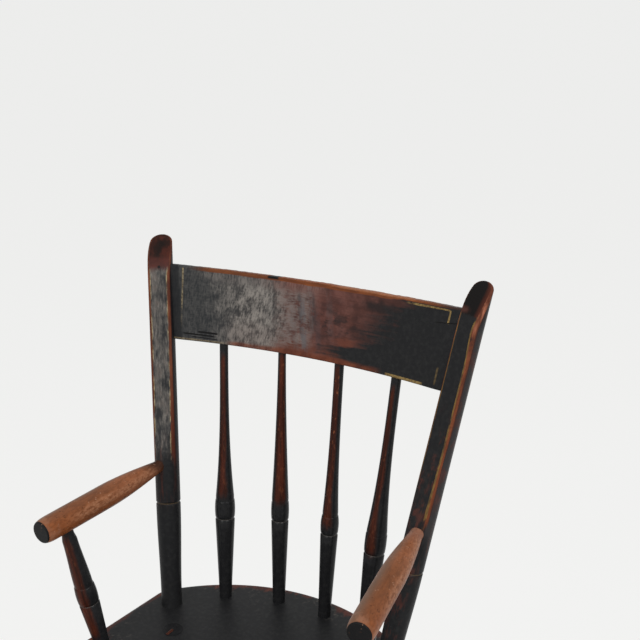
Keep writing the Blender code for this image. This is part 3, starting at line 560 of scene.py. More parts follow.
def spindle_profile(length, turning):
    diameter_share, height_share, power, start_share, end_share = turning
    foot, slim = SPINDLE_FOOT_DIAMETER / 2, end_share * SPINDLE_TOP_DIAMETER / 2
    profile = [(foot, -BURIED), (foot, RING_WIDTH)]
    shoulder_radius = diameter_share * SPINDLE_BEAD_DIAMETER / 2
    shoulder_height = height_share * SPINDLE_BEAD_HEIGHT - BEAD_HALF_HEIGHT - RING_WIDTH
    for step in range(1, WAVES):
        share = step / WAVES
        radius = foot + (shoulder_radius * BEAD_SHOULDER - foot) * share
        profile.append((radius, RING_WIDTH + (shoulder_height - RING_WIDTH) * share))
    bead(profile, shoulder_radius, height_share * SPINDLE_BEAD_HEIGHT, start_share)
    thick, start = profile[-1]
    profile.append((thick - SPINDLE_CREASE, start + SPINDLE_CREASE))
    for step in range(1, 3 * WAVES + 1):
        share = step / (3 * WAVES)
        radius = slim + (thick - slim) * (1 - share) ** power
        profile.append((radius, start + (length + BURIED - start) * share))
    return profile


def arm_profile():
    tenon, full, end = ARM_TENON_DIAMETER / 2, ARM_DIAMETER / 2, ARM_END_DIAMETER / 2
    clear_of_post = POST_DIAMETER / 2 + RING_WIDTH
    profile = [(tenon, BURIED), (tenon, clear_of_post)]
    for step in range(1, 2 * WAVES + 1):
        share = step / (2 * WAVES)
        radius = tenon + (full - tenon) * math.sin(math.pi / 2 * share)
        profile.append((radius, clear_of_post + (ARM_FULL_FROM - clear_of_post) * share))
    straight = np.linspace(ARM_FULL_FROM, ARM_LENGTH - full, WAVES)
    profile += [(full, height) for height in straight[1:]]
    for step in range(1, WAVES + 1):
        angle = math.pi / 2 * step / WAVES
        radius = end + (full - end) * math.cos(angle)
        profile.append((radius, ARM_LENGTH - full * (1 - math.sin(angle))))
    return profile + [(end * share, ARM_LENGTH) for share in ARM_END_RINGS]


def support_profile(length):
    foot, tenon = SUPPORT_FOOT_DIAMETER / 2, SUPPORT_TENON_DIAMETER / 2
    bare = length - ARM_DIAMETER / 2 - tenon / 2
    profile = [(foot, -BURIED), (foot, foot)]
    bead(profile, SUPPORT_DIAMETER / 2, SUPPORT_BEAD * length)
    radius, height = profile[-1]
    profile.append((radius - BEAD_STEP, height + BEAD_STEP))
    swell(profile, SUPPORT_NECK_DIAMETER / 2, bare - tenon)
    return profile + [(tenon, bare), (tenon, length - BURIED)]


# Materials: tones are screen colours, 0 to 255, shares and levels of noise run from 0 to 1, and the other
# numbers are metres on the piece

SHINE = 0.1
BLACK = (33, 33, 34)
BLACK_WORN = (42, 42, 42)
SOOT = (13, 12, 12)
DUST = (140, 131, 122)
UNDERCOAT = (100, 57, 47)
UNDERCOAT_DARK = (62, 35, 31)
WOOD = (152, 84, 42)
WOOD_DARK = (100, 54, 33)
SALMON = (182, 114, 86)
GOLD = (148, 124, 78)
PALE_GOLD = (178, 160, 122)
BRASS = (140, 107, 57)
DULL_GOLD = (104, 82, 50)

# Soft upright smears on the crest, the pale ones partly a painted sheen: x at its bottom, half width, lowest
# and highest, strength, tone
SMEAR_LEAN = -0.171  # how far a smear leans along the board for its height
SMEARS_AND_SHEENS = (
    (-0.0130, 0.0016, 0.012, 0.040, 0.35, (100, 95, 92)),
    (-0.0056, 0.0006, 0.028, 0.056, 0.55, (46, 45, 47)),
    (-0.0026, 0.0014, 0.010, 0.048, 0.65, (92, 90, 92)),
    (0.0062, 0.0008, 0.032, 0.064, 0.45, (110, 106, 106)),
    (0.0094, 0.0006, 0.040, 0.056, 0.55, (50, 48, 50)),
    (0.0130, 0.0016, 0.020, 0.040, 0.45, (60, 56, 58)),
    (0.0270, 0.0018, 0.030, 0.056, 0.30, (80, 76, 76)),
)
# Scratches at the crest's lower left: height, half width, middle, half length
SCRATCHES = (
    (0.0098, 0.0008, -0.109, 0.009),
    (0.0068, 0.0006, -0.118, 0.015),
    (0.0042, 0.0003, -0.112, 0.012),
)
RUB_SOFT = 14  # degrees to each side of its rim over which a turning's streak fades
BLOB_RAGGED, BLOB_RIM, BLOB_CORE = 1.6, 1.25, 0.35  # shares of an oval's size
# Beside the post: painted shade on the left arm, a painted sheen on the right arm.
ARM_ROOT_SHADE_AND_SHEEN = {LEFT: (0.9, (46, 28, 23)), RIGHT: (0.6, (158, 112, 94))}  # share and tone beside the post


class Signal:
    """An output of a shader node. Sums, products and | for the larger add nodes behind it."""

    def __init__(self, socket):
        self.socket = socket

    def __add__(self, other):
        return math_node("ADD", self, other)

    def __sub__(self, other):
        return math_node("SUBTRACT", self, other)

    def __rsub__(self, other):
        return math_node("SUBTRACT", other, self)

    def __mul__(self, other):
        return math_node("MULTIPLY", self, other)

    def __truediv__(self, other):
        return math_node("DIVIDE", self, other)

    def __or__(self, other):
        return math_node("MAXIMUM", self, other)

    def __abs__(self):
        return math_node("ABSOLUTE", self)

    def step(self, low, high):
        """0 at low and 1 at high, smooth between and flat outside; low may be the larger."""
        inputs = {"Value": self, "From Min": low, "From Max": high}
        return add_node("ShaderNodeMapRange", inputs, interpolation_type="SMOOTHSTEP")

    def band(self, middle, half, soft):
        """1 within half of the middle, fading out over soft."""
        return abs(self - middle).step(half + soft, half)

    def span(self, low, high, soft):
        """1 from low to high, fading out over soft."""
        return self.band((low + high) / 2, (high - low) / 2, soft)

    def past(self, start, lean, by):
        """How far this is past a line that starts at one place and leans by another signal."""
        return self - (by * lean + start)

    def shaken(self, *pairs):
        """This with centred noises added, as texture and amount by turns."""
        value = self
        for texture, amount in zip(pairs[::2], pairs[1::2]):
            value = value + (texture - 0.5) * amount
        return value

    def coats(self, *rows):
        """This colour under coats of others, each with its mask, share and tone."""
        base = self
        for mask, share, tone in rows:
            base = mix(mask * share, base, tone)
        return base


def add_node(kind, inputs, tree=None, output=0, **settings):
    """A new node's output, with numbers or signals on the inputs by name or place."""
    if tree is None:
        tree = next(value.socket.id_data for value in inputs.values() if isinstance(value, Signal))
    node = tree.nodes.new(kind)
    for key, value in settings.items():
        setattr(node, key, value)
    for key, value in inputs.items():
        if isinstance(value, Signal):
            tree.links.new(value.socket, node.inputs[key])
        else:
            node.inputs[key].default_value = value
    return Signal(node.outputs[output])


def math_node(operation, first, second=0.0):
    return add_node("ShaderNodeMath", {0: first, 1: second}, operation=operation)


def vector_node(operation, first, second=(0, 0, 0)):
    return add_node("ShaderNodeVectorMath", {0: first, 1: second}, operation=operation)


def parts_of(vector):
    split = add_node("ShaderNodeSeparateXYZ", {0: vector})
    return [Signal(socket) for socket in split.socket.node.outputs]


def linear(tone):
    """A screen colour as the linear colour that a shader takes; a signal stays as it is."""
    if isinstance(tone, Signal):
        return tone
    shares = [value / 255 for value in tone]
    return (*(s / 12.92 if s <= 0.04045 else ((s + 0.055) / 1.055) ** 2.4 for s in shares), 1.0)


def mix(share, first, second):
    """A colour between two colours."""
    inputs = {0: share, 6: linear(first), 7: linear(second)}
    return add_node("ShaderNodeMix", inputs, output=2, data_type="RGBA")


def blend(share, first, second):
    """A number between two numbers."""
    return add_node("ShaderNodeMix", {0: share, 2: first, 3: second}, data_type="FLOAT")


def blob(across, up, centre, size, ragged):
    """1 in the middle of an oval, fading out at a rim that a noise makes ragged."""
    squares = []
    for value, middle, half in zip((across, up), centre, size):
        share = (value - middle) / half
        squares.append(share * share)
    distance = math_node("SQRT", squares[0] + squares[1])
    return distance.shaken(ragged, BLOB_RAGGED).step(BLOB_RIM, BLOB_CORE)


class Paint:
    """A new material with the piece's own coordinates, its values and noises over it."""

    def __init__(self, name):
        self.material = bpy.data.materials.new(name)
        self.material.use_nodes = True
        self.tree = self.material.node_tree
        self.shader = self.tree.nodes["Principled BSDF"]
        self.shader.inputs["Specular IOR Level"].default_value = SHINE
        self.place = add_node("ShaderNodeTexCoord", {}, self.tree, "Object")
        self.x, self.y, self.z = parts_of(self.place)

    def value(self, name):
        """A value that the piece's mesh carries."""
        return add_node("ShaderNodeAttribute", {}, self.tree, "Fac", attribute_name=name)

    def noise(self, stretch, detail=4.0, roughness=0.55, shift=0.0, lean=0.0):
        """Noise with stretch as its grains per metre, one number or one for each axis; they may lean."""
        place = self.place
        if lean:
            leaning = self.x.past(0.0, lean, self.z)
            place = add_node("ShaderNodeCombineXYZ", {0: leaning, 1: self.y, 2: self.z})
        if isinstance(stretch, float):
            stretch = (stretch, stretch, stretch)
        place = vector_node("ADD", vector_node("MULTIPLY", place, stretch), (shift, shift, shift))
        inputs = {"Vector": place, "Scale": 1.0, "Detail": detail, "Roughness": roughness}
        return add_node("ShaderNodeTexNoise", inputs)

    def finish(self, base, roughness, relief, depth):
        """Sets the surface; the relief runs from 0 to 1, and depth is its size in metres."""
        bump = add_node("ShaderNodeBump", {"Height": relief, "Distance": depth, "Strength": 1.0})
        for name, signal in (("Base Color", base), ("Roughness", roughness), ("Normal", bump)):
            self.tree.links.new(signal.socket, self.shader.inputs[name])
        return self.material


def wood_colour(paint, grain, light=WOOD, dark=WOOD_DARK):
    """Bare wood: long grain lines, with the given grains per metre along each axis."""
    streaks = paint.noise(grain, detail=6.0, roughness=0.62)
    patches = paint.noise(tuple(value / 4 for value in grain), detail=3.0, shift=3.7)
    return mix(blend(0.35, streaks, patches).step(0.36, 0.66), dark, light)


def undercoat_colour(paint, grain):
    tone = paint.noise(grain, detail=5.0, shift=8.1)
    return mix(tone.step(0.30, 0.66), UNDERCOAT_DARK, UNDERCOAT)


def black_colour(paint):
    """Black paint with a faint mottle and a few pale specks."""
    mottle = paint.noise(240.0, detail=6.0, shift=1.3)
    specks = paint.noise(520.0, detail=2.0, shift=11.5).step(0.72, 0.78)
    return mix(mottle.step(0.40, 0.74), BLACK, BLACK_WORN).coats((specks, 0.16, DUST))


def crest_gold(paint):
    """Lines along the top, the ends and the bottom of the crest, broken by wear."""
    x, low, high, end = paint.x, paint.value("low"), paint.value("high"), paint.value("from_post")
    on_right = x.step(0.0, 0.01)
    breaks = paint.noise(150.0, detail=3.0, shift=9.3)
    thin = (paint.noise(60.0, detail=2.0, shift=2.9) - 0.5) * 0.0009 + 0.00062

    def line(value, middle):
        return (abs(value - middle) - thin).step(0.0004, 0.0)

    right_end = line(end, 0.0211) * on_right
    top_line = line(high, 0.0036) * x.step(0.098, 0.102) * end.step(0.0202, 0.0212)
    top_line = top_line * blend(x.shaken(breaks, 0.06).step(0.100, 0.112), 0.45, 1.0)
    bulb = end.band(0.0211, 0.0008, 0.0004) * high.band(0.0145, 0.0008, 0.0005)
    right_line = right_end * high.span(0.0036, 0.0146, 0.0004) | bulb * on_right
    bottom_line = low.band(0.0016, 0.0011, 0.0006) * x.span(0.086, 0.122, 0.003)
    left_line = line(x.past(-0.1364, -0.0503, low), 0.0) * high.step(0.0015, 0.0026)
    left_line = left_line * low.shaken(breaks, 0.06).step(0.014, 0.036)
    left_line = left_line * blend(breaks.step(0.30, 0.50), 0.26, 0.58)
    low_left = line(low, 0.0016) * x.step(-0.084, -0.100)
    faint = right_end * low.span(0.006, 0.018, 0.003) * 0.40 | low_left * 0.36
    strong = (top_line | right_line | bottom_line) * breaks.step(0.28, 0.40)
    return strong | left_line * 0.9 | faint


def crest_dents(paint):
    """Scratches at the lower left and a crack at the right end."""
    x, low, high = paint.x, paint.value("low"), paint.value("high")
    wobble = low.shaken(paint.noise(40.0, shift=7.7), 0.003)
    dents = high.past(0.0290, -0.097, x).band(0.0, 0.0003, 0.0003) * x.step(0.128, 0.136)
    for height, half, middle, reach in SCRATCHES:
        dents = dents | wobble.band(height, half, 0.0003) * x.band(middle, reach, 0.003)
    return dents


def crest_brown(paint, dashes, hatching, patches):
    """The undercoat in the middle, warmer towards the lower edge, under smears with some painted sheen and
    left-over black.
    """
    x, low = paint.x, paint.value("low")
    blots = paint.noise((75, 75, 110), detail=4.0, shift=12.6)
    lines = paint.noise((30, 30, 420), detail=4.0, shift=3.8).step(0.48, 0.66)
    dim = x.past(0.049, 0.46, low).shaken(blots, 0.05).step(-0.050, 0.0)
    warm = low.shaken(patches, 0.022).step(0.022, 0.002)
    # A pale haze left of the middle, partly a painted sheen.
    haze_and_sheen = x.span(-0.040, -0.008, 0.016) * low.span(0.014, 0.058, 0.010)
    haze_and_sheen = haze_and_sheen * patches.shaken(hatching, 1.0).step(0.18, 0.74)
    cool = mix(patches.step(0.38, 0.66), (82, 56, 51), (122, 84, 76))
    brown = mix(0.55, undercoat_colour(paint, (70, 70, 120)), cool).coats(
        (lines, 0.35, (66, 38, 33)),
        (dim, 0.45, (54, 37, 33)),
        (warm, 0.55, (112, 62, 44)),
        (haze_and_sheen, 0.78, (128, 118, 112)),
    )
    for start, half, lowest, highest, strength, tone in SMEARS_AND_SHEENS:
        across = x.past(start, SMEAR_LEAN, low).shaken(patches, 0.004, dashes, 0.0040)
        smear_and_sheen = across.band(0.0, half, 0.0029) * low.span(lowest, highest, 0.014)
        smear_and_sheen = smear_and_sheen * patches.shaken(dashes, 0.7).step(0.30, 0.58)
        brown = brown.coats((smear_and_sheen, strength, tone))
    left_over = blots.shaken(hatching, 0.35).step(0.46, 0.64)
    left_over = left_over * blob(x, low, (0.026, 0.036), (0.034, 0.020), blots)
    ember = blob(x, low, (0.040, 0.0215), (0.017, 0.0050), blend(0.7, patches, hatching))
    smoke = blob(x, low, (0.074, 0.0605), (0.020, 0.0060), patches)
    return brown.coats(
        (left_over, 0.80, (36, 34, 34)),
        (ember, 0.50, (120, 66, 49)),
        (smoke, 0.75, (34, 32, 32)),
    )


def crest_grey(paint, dashes, hatching, patches):
    """Dark grey at the left end, rubbed pale in short dashes towards the middle, partly a painted sheen."""
    x, low, high = paint.x, paint.value("low"), paint.value("high")
    crackle = blend(0.34, dashes, hatching)
    grey = mix(crackle.shaken(patches, 0.35).step(0.36, 0.66), (46, 47, 48), (75, 74, 72))
    chatter = paint.noise((560, 560, 170), detail=3.0, roughness=0.6, shift=14.2, lean=0.26)
    rub = blend(0.48, crackle, chatter).shaken(patches, 0.50).step(0.36, 0.64)
    pink = low.shaken(patches, 0.02).step(0.034, 0.014) * x.step(-0.100, -0.080)
    # The pale rubbed zone is worn paint and partly a painted sheen.
    rubbed = mix(rub, (68, 65, 63), (146, 139, 131))
    rubbed = rubbed.coats((pink, 0.55, mix(rub, (86, 77, 73), (140, 127, 119))))
    inwards = x.past(-0.0925, -0.122, low).shaken(patches, 0.045, dashes, 0.016)
    zone = high.shaken(patches, 0.016).step(0.000, 0.016) * inwards.step(-0.018, 0.032)
    dusty = blob(x, high, (-0.112, 0.0055), (0.016, 0.0040), crackle) * rub
    rut = x.past(-0.0358, -0.102, low).shaken(patches, 0.006, dashes, 0.003)
    rut = rut.band(0.0, 0.0012, 0.0022) * patches.step(0.30, 0.50)
    rut = rut * low.shaken(dashes, 0.03).step(0.012, 0.036)
    # Painted shade on the crest's end beside the post.
    shade_beside_post = paint.value("from_post").step(0.0240, 0.0205)
    return grey.coats(
        (zone, 0.92, rubbed),
        (dusty, 0.55, (112, 106, 100)),
        (rut, 0.65, (42, 41, 42)),
        (shade_beside_post, 0.80, (29, 30, 32)),
    )


def crest_material():
    """Black paint on the crest, rubbed grey with painted sheen at the left, brown in the middle and to the
    wood on top.
    """
    paint = Paint("crest_old_paint")
    x, low, high, front = paint.x, paint.value("low"), paint.value("high"), paint.value("front")
    dashes = paint.noise((600, 600, 170), detail=3.0, roughness=0.6)
    hatching = paint.noise((200, 200, 640), detail=3.0, roughness=0.6, shift=5.2)
    along = paint.noise((26, 26, 300), detail=5.0, roughness=0.6, shift=2.4)
    patches = paint.noise(85.0, detail=4.0, shift=6.6)
    clouds = paint.noise(26.0, detail=5.0, shift=4.4)
    grain = paint.noise(420.0, detail=4.0, shift=7.1)
    on_left = x.shaken(clouds, 0.020, patches, 0.030, dashes, 0.012).step(-0.022, -0.045)
    grey = crest_grey(paint, dashes, hatching, patches)
    base = mix(on_left, crest_brown(paint, dashes, hatching, patches), grey)
    # A pale band runs under the bare top edge, left of the middle.
    pale = high.shaken(patches, 0.012, dashes, 0.008).step(0.0170, 0.0060)
    pale = pale * x.shaken(clouds, 0.04).span(-0.100, -0.002, 0.022)
    pale = pale * blend(dashes.step(0.40, 0.60), 0.16, 0.50)
    base = mix(pale, base, mix(x.step(-0.070, -0.030), (128, 119, 113), (138, 108, 99)))
    # Black keeps its cover at the right; its worn border leans, with a tongue near the bottom.
    border = x.past(0.049, 0.46, low) + low.band(0.0115, 0.0030, 0.0060) * 0.036
    border = border - high.step(0.0110, 0.0070) * 0.016
    border = border.shaken(along, 0.062, clouds, 0.030, patches, 0.044, grain, 0.014)
    on_right = border.step(-0.018, 0.016)
    black = black_colour(paint)
    base = mix(on_right, base, black)
    # The lower edge is rubbed brown in the middle, and the top edge to the wood, with a knot.
    low_wear = low.shaken(along, 0.006, patches, 0.003).step(0.0064, 0.0026)
    low_wear = low_wear * x.span(-0.078, 0.068, 0.014)
    base = base.coats((low_wear, 0.80, mix(patches.step(0.36, 0.64), (88, 46, 33), (120, 66, 44))))
    dull = x.step(-0.030, -0.070) | x.step(0.104, 0.126)
    sunny = x.span(0.030, 0.100, 0.012) * high.step(0.0020, 0.0004)
    wood = wood_colour(paint, (34, 260, 260), (152, 86, 46), (98, 54, 33))
    wood = wood.coats((dull, 0.50, (80, 50, 34)), (sunny, 0.45, (178, 120, 86)))
    reach = blend(x.step(0.070, 0.100), 0.0034, 0.0019)
    bare = (high.shaken(along, 0.0022, clouds, 0.0016) - reach).step(0.0007, -0.0005)
    bare = bare * x.shaken(clouds, 0.03).step(-0.136, -0.110)
    bare = bare * blend(x.shaken(along, 0.03).step(0.122, 0.148), 1.0, 0.25)
    bare = bare * (front | paint.value("depth").step(1.02, 0.92))
    back_wear = clouds.shaken(along, 0.3).step(0.60, 0.72)
    back = black.coats((back_wear, 0.6, undercoat_colour(paint, (40, 40, 200))))
    knot = x.shaken(grain, 0.004).band(-0.045, 0.0045, 0.002) * high.step(0.0032, 0.0014)
    base = mix(knot, mix(bare, mix(front, back, base), wood), SOOT)
    gold = mix(x.step(-0.02, 0.02), PALE_GOLD, GOLD)
    gold = mix(grain.step(0.34, 0.62), DULL_GOLD, gold)
    dents = crest_dents(paint) * front
    base = mix(dents, mix(crest_gold(paint) * front, base, gold), SOOT)
    roughness = blend(on_right, blend(grain, 0.42, 0.58), 0.38)
    relief = blend(0.4, blend(0.5, dashes, hatching), blend(0.5, along, grain))
    relief = blend(on_right, relief, blend(0.8, 0.6, grain)) - dents
    return paint.finish(base, blend(bare, roughness, 0.55), relief, 0.00009)


def post_material(side):
    """Black paint on a post, worn brown along its flat's corners and on its thumb, with gold lines."""
    paint = Paint(SIDE_NAMES[side] + "_post_old_paint")
    x, z, edge, outer = paint.x, paint.z, paint.value("flat_edge"), paint.value("outer")
    streaks = paint.noise((300, 300, 26), detail=5.0, shift=side)
    dashes = paint.noise((580, 580, 140), detail=3.0, roughness=0.6, shift=3 + side)
    patches = paint.noise((110, 110, 70), detail=4.0, shift=5 + side)
    breaks = paint.noise((150, 150, 70), detail=4.0, shift=9 + side)
    on_flat = edge.step(-0.0004, 0.0006)
    undercoat = undercoat_colour(paint, (150, 150, 60))
    shaft = streaks.step(0.50, 0.68) * z.step(0.22, 0.14) * z.step(0.09, 0.12)
    base = black_colour(paint).coats((shaft, 0.45, undercoat))
    if side == LEFT:
        # Its flat is rubbed grey, partly a painted sheen, and its thumb is brown with a dark blot.
        marks = patches.shaken(dashes, 0.62, streaks, 0.40).step(0.28, 0.72)
        grey = mix(marks, (46, 46, 47), (114, 109, 103)).coats(
            (dashes.step(0.54, 0.68) * patches.step(0.44, 0.60), 0.55, (150, 143, 134)),
            (patches.step(0.52, 0.70), 0.25, (88, 62, 52)),
        )
        shown = on_flat * z.shaken(patches, 0.03, dashes, 0.02).step(0.146, 0.180)
        base = base.coats((shown, 0.85, grey))
        blot = blob(x, z, (-0.0030, 0.3640), (0.0120, 0.0100), patches)
        face = mix(patches.step(0.36, 0.60), (44, 25, 19), (76, 37, 28)).coats(
            (z.shaken(patches, 0.012).span(0.3400, 0.3510, 0.005), 0.40, (96, 50, 44)),
            (blot, 0.90, (24, 18, 16)),
        )
        thumb_from, thumb_soft, thumb_wear = 0.3425, 0.0036, 0.45
        outer_reach, inner_reach, onto_flat, worn_from = 0.0014, 0.0015, 0.0018, 0.153
        light, dark = mix(z.step(0.185, 0.265), (104, 54, 38), (134, 78, 52)), (80, 42, 31)
        line_half, line_breaks, line_gold = 0.00030, breaks.step(0.40, 0.58), PALE_GOLD
    else:
        # Its flat is brown low down, its outer side has a painted sheen, and its thumb is black with a worn
        # rim.
        brown = z.step(0.275, 0.200) * patches.shaken(dashes, 0.5).step(0.46, 0.64)
        beyond = z.step(0.150, 0.190) * patches.step(0.50, 0.66) * outer
        sheen = z.span(0.150, 0.330, 0.020) * outer * (1.0 - on_flat)
        base = base.coats(
            (sheen, 0.35, (82, 76, 76)),
            (on_flat * brown | beyond * (1.0 - on_flat), 0.52, undercoat),
        )
        outwards, above = x.step(-0.004, 0.006), z.step(0.205, 0.255)
        rim = edge.shaken(patches, 0.003) / blend(outwards, 0.0018, 0.0105)
        rim = rim.step(1.0, 0.1) * blend(outwards, 0.4, 0.9)
        spot = blob(x, z, (-0.0090, 0.3490), (0.0085, 0.0046), patches)
        face = mix(rim, (18, 15, 14), (88, 44, 31)).coats((spot, 0.7, (88, 53, 45)))
        thumb_from, thumb_soft = 0.3462, 0.0018
        thumb_wear = blend(outwards, 0.15, blend(z.step(0.354, 0.370), 1.0, 0.15))
        outer_reach, inner_reach, worn_from = blend(above, 0.0010, 0.0022), 0.0006, 0.158
        onto_flat = blend(outer, 0.0004, blend(z.step(0.300, 0.334), 0.0013, 0.0030))
        lower = mix(above, (128, 70, 44), (142, 80, 50))
        light, dark = mix(z.shaken(patches, 0.05).step(0.30, 0.35), lower, SALMON), (92, 49, 33)
        line_half = blend(outer, 0.00025, blend(above, 0.00070, 0.00050))
        line_breaks, line_gold = breaks.step(0.30, 0.48), BRASS
    thumb = z.shaken(patches, 0.006).step(thumb_from - thumb_soft, thumb_from + thumb_soft)
    base = mix(thumb * edge.step(-0.0030, 0.0004), base, face)
    # The corners of the flat are worn to the wood, and brown beyond.
    worn = z.shaken(streaks, 0.03).step(worn_from - 0.010, worn_from + 0.006)
    ragged = edge.shaken(streaks, 0.0010, dashes, 0.0008)
    past = ragged / (blend(outer, inner_reach, outer_reach) * -1.0)
    inside = (ragged - onto_flat).step(0.0004, -0.0002)
    thumb_share = blend(thumb, 1.0, thumb_wear)
    rim = past.step(2.0, 1.0) * inside * worn * thumb_share
    corner = past.step(1.25, 0.55) * inside * worn
    corner = corner * paint.noise(90.0, shift=1.9).step(0.24, 0.40) * thumb_share
    base = base.coats((rim, 0.75, UNDERCOAT_DARK))
    base = mix(corner, base, wood_colour(paint, (280, 280, 40), light, dark))
    # Gold lines run just inside the worn corners and in the turned ring.
    line = abs(edge.shaken(streaks, 0.0006) - onto_flat - 0.0005) - line_half
    line = line.step(0.00035, 0.0) * (1.0 - thumb) * worn * line_breaks
    ring = paint.value("groove").step(0.50, 0.85) * breaks.step(0.30, 0.46)
    base = base.coats(
        (line, 0.85, mix(dashes.step(0.38, 0.62), DULL_GOLD, line_gold)),
        (ring, 0.55, (110, 92, 68)),
    )
    if side == LEFT:
        hole = blob(x, z, (0.0005, 0.3445), (0.0020, 0.0018), 0.5)
        base = mix(hole * on_flat, base, SOOT)
    roughness = blend(corner, blend(dashes, 0.34, 0.46), 0.54)
    relief = blend(0.5, streaks, dashes) - corner * 0.5
    return paint.finish(base, roughness, relief, 0.00008)


def turning_material(name, turn, half, rub_from, rub_to, strength, chips=0.0):
    """Black paint on a turning, rubbed to the undercoat in a streak down one side, between two heights."""
    paint = Paint(name)
    around = vector_node("NORMALIZE", vector_node("MULTIPLY", paint.place, (1, 1, 0)))
    across, depth, _ = parts_of(around)
    facing = depth * -math.cos(math.radians(turn)) + across * math.sin(math.radians(turn))
    streaks = paint.noise((360, 360, 13), detail=5.0, roughness=0.6)
    patches = paint.noise((80, 80, 34), detail=4.0, shift=4.0)
    away = math_node("ARCCOSINE", math_node("MINIMUM", facing | -1.0, 1.0))
    away = away.shaken(streaks, 0.9, patches, 0.7)
    worn = away.step(math.radians(half + RUB_SOFT), math.radians(half - RUB_SOFT))
    worn = worn * paint.z.shaken(patches, 0.02).span(rub_from, rub_to, 0.012)
    swelling = paint.value("swelling").shaken(patches, 0.35).step(1.03, 1.12)
    worn = worn * strength | swelling * 0.3
    brown = mix(streaks.step(0.34, 0.66), (49, 22, 13), (86, 38, 22))
    flecks = paint.noise((420, 420, 130), detail=2.0, shift=6.3).step(0.58, 0.66) * worn
    upper = paint.z.shaken(patches, 0.05).step(0.170, 0.215)
    # A pale line in the ring cuts, partly dust and partly a painted highlight on the cut's lower slope.
    groove = paint.value("groove").step(0.30, 0.66) * patches.step(0.24, 0.40)
    base = mix(worn, black_colour(paint), brown).coats(
        (flecks, blend(upper, 0.15, 0.15 + chips), (160, 96, 62)),
        (groove, 0.34, (120, 114, 107)),
    )
    return paint.finish(base, blend(worn, 0.24, 0.40), blend(0.6, streaks, patches), 0.00006)


def board_material(name, grain):
    """Black paint on a board, worn through along its edges and where it is used."""
    paint = Paint(name)
    streaks = paint.noise(grain, detail=6.0)
    clouds = paint.noise(18.0, detail=5.0, shift=2.2)
    scuffs = paint.noise(160.0, detail=4.0, shift=6.1)
    worn = (paint.value("use") | paint.value("edge") * 0.62).shaken(clouds, 1.1, streaks, 0.5)
    through = worn.step(0.52, 0.68)
    dust = scuffs.step(0.55, 0.75) * worn.step(0.2, 0.6)
    black = black_colour(paint).coats((dust, 0.30, DUST))
    bare = worn.shaken(scuffs, 0.25).step(0.82, 0.98) * through
    base = mix(through, black, undercoat_colour(paint, grain))
    base = mix(bare, base, wood_colour(paint, grain))
    relief = blend(0.5, streaks, scuffs) - through * 0.4
    return paint.finish(base, blend(through, 0.42, 0.50), relief, 0.00015)


def arm_material(side):
    """Hand-worn wood, mottled, painted shade (left) and sheen (right) by the post, black paint left on the
    front end.
    """
    paint = Paint(SIDE_NAMES[side] + "_arm_worn_wood")
    x, y, z = paint.x, paint.y, paint.z
    grain = (420, 420, 15)
    streaks = paint.noise(grain, detail=6.0, roughness=0.62)
    pores = paint.noise((800, 800, 60), detail=4.0, shift=3.1)
    clouds = paint.noise((70, 70, 38), detail=5.0, shift=1.7)
    mottle = paint.noise((430, 430, 230), detail=3.0, roughness=0.65, shift=7.4)
    spots = paint.noise((150, 150, 70), shift=5.5)
    fine = paint.noise(300.0, detail=2.0, shift=8.8)
    under = y.shaken(clouds, 0.006).step(-0.0060, -0.0110)
    below = y.shaken(clouds, 0.004).step(0.0015, -0.0030)
    # A painted highlight along the upper side, broken by the mottle.
    painted_highlight = y.shaken(clouds, 0.010).span(0.0010, 0.0060, 0.0030)
    painted_highlight = painted_highlight * mottle.step(0.26, 0.70) * z.step(0.148, 0.120)
    patina = y.shaken(clouds, 0.008, streaks, 0.004).step(0.0045, 0.0112)
    patina_share = blend(z.step(0.060, 0.100), 0.14, 0.46)
    dusty = x.shaken(clouds, 0.006).step(0.0030, -0.0060) * y.step(0.0, 0.004)
    # Beside the post: painted shade on the left arm, a painted sheen on the right, reaching further out along
    # the top.
    root = z.past(0.0, 1.5, y).shaken(clouds, 0.016).step(0.032, 0.008)
    worn_rim = z.band(0.156, 0.004, 0.004) * clouds.step(0.40, 0.58)
    end = paint.value("end_face").step(0.35, 0.55)
    base = wood_colour(paint, grain, (166, 100, 61), (136, 80, 48)).coats(
        (spots.step(0.46, 0.66), 0.30, (104, 62, 40)),
        (clouds.step(0.44, 0.64), 0.35, (116, 70, 44)),
        (pores.step(0.56, 0.68), 0.55, (78, 46, 32)),
        (under, 0.40, (122, 64, 36)),
        (z.step(0.105, 0.060), 0.50, (180, 114, 80)),
        (below, 0.45, (150, 84, 45)),
        (z.step(0.105, 0.140), 0.35, (160, 90, 50)),
        (painted_highlight, 0.55, (192, 138, 104)),
        (mottle.step(0.60, 0.34), 0.42, (96, 56, 35)),
        (patina, patina_share, mix(clouds, (88, 54, 36), (118, 80, 56))),
        (dusty, 0.60, (118, 95, 78)),
        (root, *ARM_ROOT_SHADE_AND_SHEEN[side]),
        (worn_rim, 0.35, (196, 146, 118)),
        (end, 1.0, mix(0.7, black_colour(paint), SOOT)),
        (fine.step(0.66, 0.72), 0.55, (60, 38, 28)),
        (fine.step(0.32, 0.27), 0.50, (188, 146, 118)),
    )
    roughness = blend(end, blend(clouds.step(0.3, 0.7), 0.34, 0.48), 0.45)
    return paint.finish(base, roughness, blend(0.5, streaks, pores), 0.00012)


def iron_material():
    paint = Paint("old_iron")
    rust = paint.noise(900.0, detail=5.0)
    base = mix(rust.step(0.40, 0.62), (70, 58, 50), (96, 54, 34))
    paint.shader.inputs["Metallic"].default_value = 0.7
    return paint.finish(base, blend(rust, 0.45, 0.75), rust, 0.0002)


# Pieces


